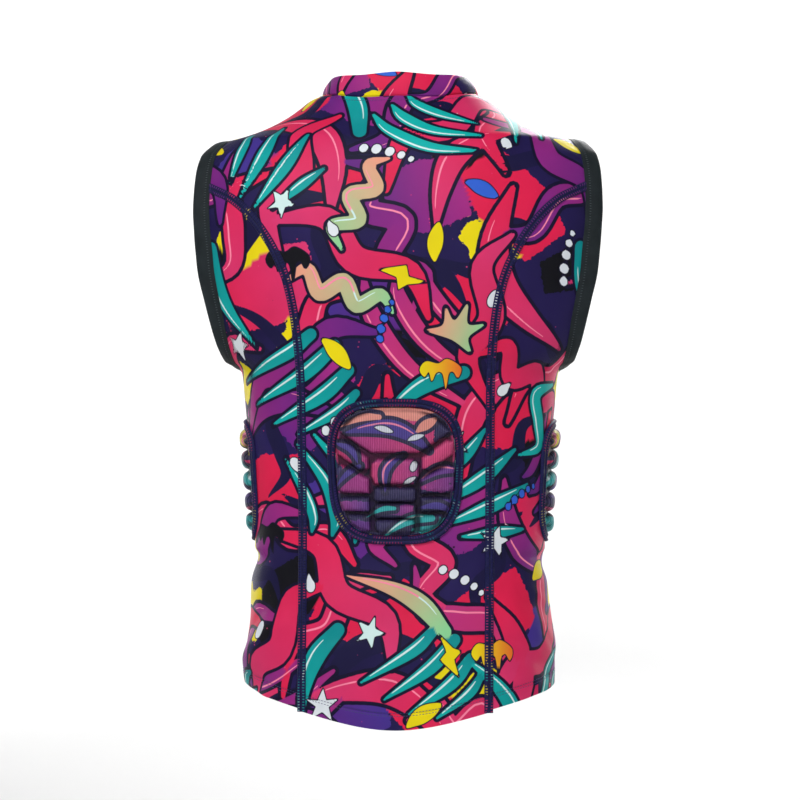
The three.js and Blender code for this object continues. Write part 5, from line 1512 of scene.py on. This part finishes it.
RIB_PAD = dict(width=100, height=RIB_PAD_HEIGHT, drop=RIB_PAD_DROP, power=4.5, rows=5, columns=2, start=77)
RIB_PRINT = [
    (0, "slab", -24, 36, 40, 12, 0.9, "crimson", "magenta"),
    (0, "slab", 26, 40, 40, -8, 0.8, "teal", "sea"),
    (0, "slab", -26, -4, 34, -20, 0.8, "violet", "purple"),
    (0, "slab", 22, 2, 38, 16, 0.8, "magenta", "crimson"),
    (0, "slab", -20, -42, 40, 8, 0.7, "teal", "sea"),
    (0, "slab", 28, -40, 34, -12, 0.8, "purple", "violet"),
    (2, "swoosh", -28, 18, 36, 34, 1.0, "teal", "sea"),
    (2, "swoosh", 26, 20, 34, -42, 1.0, "night", "night"),
    (2, "crest", -24, -22, 24, 20, 1.0, "rose", "crimson"),
    (2, "swoosh", 30, -14, 36, 60, 1.0, "teal", "sea"),
    (2, "swoosh", 4, -44, 22, -70, 1.0, "crimson", "rose"),
    (2, "blade", -36, 44, 22, 50, 1.2, "yellow", "yellow"),
    (5, "oval", 10, 36, 5, 30, 1.0, "white", "white"),
    (5, "oval", -30, -30, 4, 20, 1.0, "white", "white"),
    (5, "leaf", 34, -30, 9, 40, 1.0, "white", "white"),
    (5, "leaf", -8, 8, 8, -30, 1.0, "yellow", "yellow"),
]


def in_rows_and_columns(pad, groove=2.4, corner=6.0):
    """Distance inside the nearest block, for blocks in even rows and columns with rounded corners."""
    def inside(u, v, x, y):
        gaps = []
        for place, size, count in ((u, pad["width"], pad["columns"]), (v, pad["height"], pad["rows"])):
            cell = size / count
            off = ((place + 1) / 2 * count) % 1
            gaps.append(cell / 2 - groove / 2 - np.abs(off - 0.5) * cell)
        near = np.minimum(*gaps)
        round_off = corner - np.hypot(*(np.maximum(corner - gap, 0) for gap in gaps))
        return np.where(near < corner, np.minimum(near, round_off), near)
    return inside


def on_ribs(side):
    radius = (WAIST["width"] + WAIST["front"]) / 2
    middle = np.radians(RIB_PAD["start"]) + RIB_PAD["width"] / 2 / radius

    def place(across, up, lift):
        return skin(turned_point(side * (middle + across / radius), up - RIB_PAD["drop"]), lift, still=True)
    return place


for hand, side in (("left", -1), ("right", 1)):
    knobs = in_rows_and_columns(RIB_PAD, 2.0, 10.0)
    foam_pad(f"rib_knobs_{hand}", RIB_PAD, on_ribs(side), 0.95, knobs, RIB_PRINT, f"rib_pad_{hand}")
    pad_band(f"rib_pad_band_{hand}", RIB_PAD, on_ribs(side), f"rib_pad_edge_{hand}", 420)


# Chest pad
# The pad that the shirt is named for lies over the breastbone: three columns of four foam blocks, moulded
# and sewn down as the back pad is.

CHEST_PAD = dict(width=132, height=132, drop=178, power=3.2, rows=4, columns=3)
CHEST_PRINT = [
    (0, "slab", -36, 44, 44, 12, 0.8, "crimson", "rose"),
    (0, "slab", 32, 40, 44, -16, 0.9, "magenta", "purple"),
    (0, "slab", 0, 8, 44, 6, 0.8, "violet", "purple"),
    (0, "slab", -42, -16, 36, 30, 0.9, "teal", "sea"),
    (0, "slab", 44, -10, 34, -20, 0.9, "crimson", "magenta"),
    (0, "slab", -14, -46, 44, -8, 0.8, "magenta", "crimson"),
    (0, "slab", 42, -50, 34, 14, 0.8, "teal", "sea"),
    (2, "ribbon", -26, 30, 34, 20, 1.0, "violet", "purple"),
    (2, "swoosh", 28, 48, 34, -30, 1.1, "salmon", "mint"),
    (2, "swoosh", 34, 6, 32, 60, 1.0, "rose", "crimson"),
    (2, "wave", -22, -12, 40, 50, 1.0, "crimson", "rose"),
    (2, "blade", 18, -34, 34, -24, 1.3, "teal", "sea"),
    (2, "crest", -36, -46, 28, -10, 1.0, "purple", "magenta"),
    (5, "leaf", -50, 20, 10, 30, 1.0, "yellow", "yellow"),
    (5, "oval", 20, 22, 4, 0, 1.0, "white", "white"),
    (5, "leaf", 46, -30, 10, -30, 1.0, "yellow", "yellow"),
    (5, "star", -6, -30, 9, 0, 1.0, "white", "white"),
]


def on_chest(across, up, lift):
    z = up - CHEST_PAD["drop"]
    return skin(np.stack([-across, depth_at(across, z, 1), z], -1), lift, still=True)


foam_pad("breastbone_pad", CHEST_PAD, on_chest, 1.0, in_rows_and_columns(CHEST_PAD), CHEST_PRINT, "chest_pad")
pad_band("breastbone_pad_band", CHEST_PAD, on_chest, "chest_pad_edge")


# Floor, lights and camera
# A round white studio whose floor curves up into its wall, with soft lamps for the shirt and more for the
# wall behind it, and the camera behind the wearer at the photograph's angle.

clear_choice()
bpy.ops.mesh.primitive_cylinder_add(vertices=128, radius=6, depth=6)
floor = bpy.context.object
floor.name = "floor"
bpy.ops.object.mode_set(mode="EDIT")
bpy.ops.mesh.select_all(action="SELECT")
bpy.ops.transform.translate(value=(0, 0, 2.05))
bpy.ops.mesh.select_all(action="DESELECT")
bpy.ops.object.mode_set(mode="OBJECT")
for face in floor.data.polygons:
    face.select = len(face.vertices) > 4 and face.center.z > 0
bpy.ops.object.mode_set(mode="EDIT")
bpy.ops.mesh.select_mode(type="FACE")
bpy.ops.mesh.delete(type="FACE")
bpy.ops.object.mode_set(mode="OBJECT")
bend = floor.modifiers.new("bend", "BEVEL")
bend.width, bend.segments, bend.limit_method, bend.angle_limit = 2.2, 20, "ANGLE", np.radians(60)
bpy.ops.object.modifier_apply(modifier="bend")
bpy.ops.object.shade_smooth()
paper = Shader("white paper", Base_Color=(0.74, 0.74, 0.74, 1), Roughness=0.9, Specular_IOR_Level=0.1)
floor.data.materials.append(paper.material)

world = bpy.data.worlds.new("studio")
bpy.context.scene.world = world
world.use_nodes = True
world.node_tree.nodes["Background"].inputs["Color"].default_value = (1, 1, 1, 1)
world.node_tree.nodes["Background"].inputs["Strength"].default_value = 0.12


def soft_light(name, place, target, size, watts):
    clear_choice()
    bpy.ops.object.light_add(type="AREA", location=place)
    lamp = bpy.context.object
    lamp.name = name
    lamp.data.shape, lamp.data.size, lamp.data.energy = "SQUARE", size, watts
    way = np.array(target) - np.array(place)
    lamp.rotation_euler = (np.arctan2(np.hypot(way[0], way[1]), -way[2]), 0, np.arctan2(-way[0], way[1]))


soft_light("key", (-0.7, -2.1, 1.5), (0, 0, -0.3), 0.6, 46)
soft_light("fill", (0.9, -2.4, 0.0), (0, 0, -0.3), 1.2, 6)
soft_light("front", (0.6, 2.0, 1.2), (0, 0, -0.3), 0.8, 50)
soft_light("wall_left", (-3.2, 3.0, 0.2), (-0.9, 6, -0.3), 1.4, 160)
soft_light("wall_right", (3.2, 3.0, 0.2), (0.9, 6, -0.3), 1.4, 160)

clear_choice()
VIEW_TURN, VIEW_DISTANCE, VIEW_LEVEL = np.radians(3), 2.4, -0.303
bpy.ops.object.camera_add(
    location=(VIEW_DISTANCE * np.sin(VIEW_TURN), -VIEW_DISTANCE * np.cos(VIEW_TURN), VIEW_LEVEL),
    rotation=(np.pi / 2, 0, VIEW_TURN))
camera = bpy.context.object
camera.data.lens, camera.data.sensor_width = 108, 36
bpy.context.scene.camera = camera
bpy.context.scene.view_settings.view_transform = "Standard"
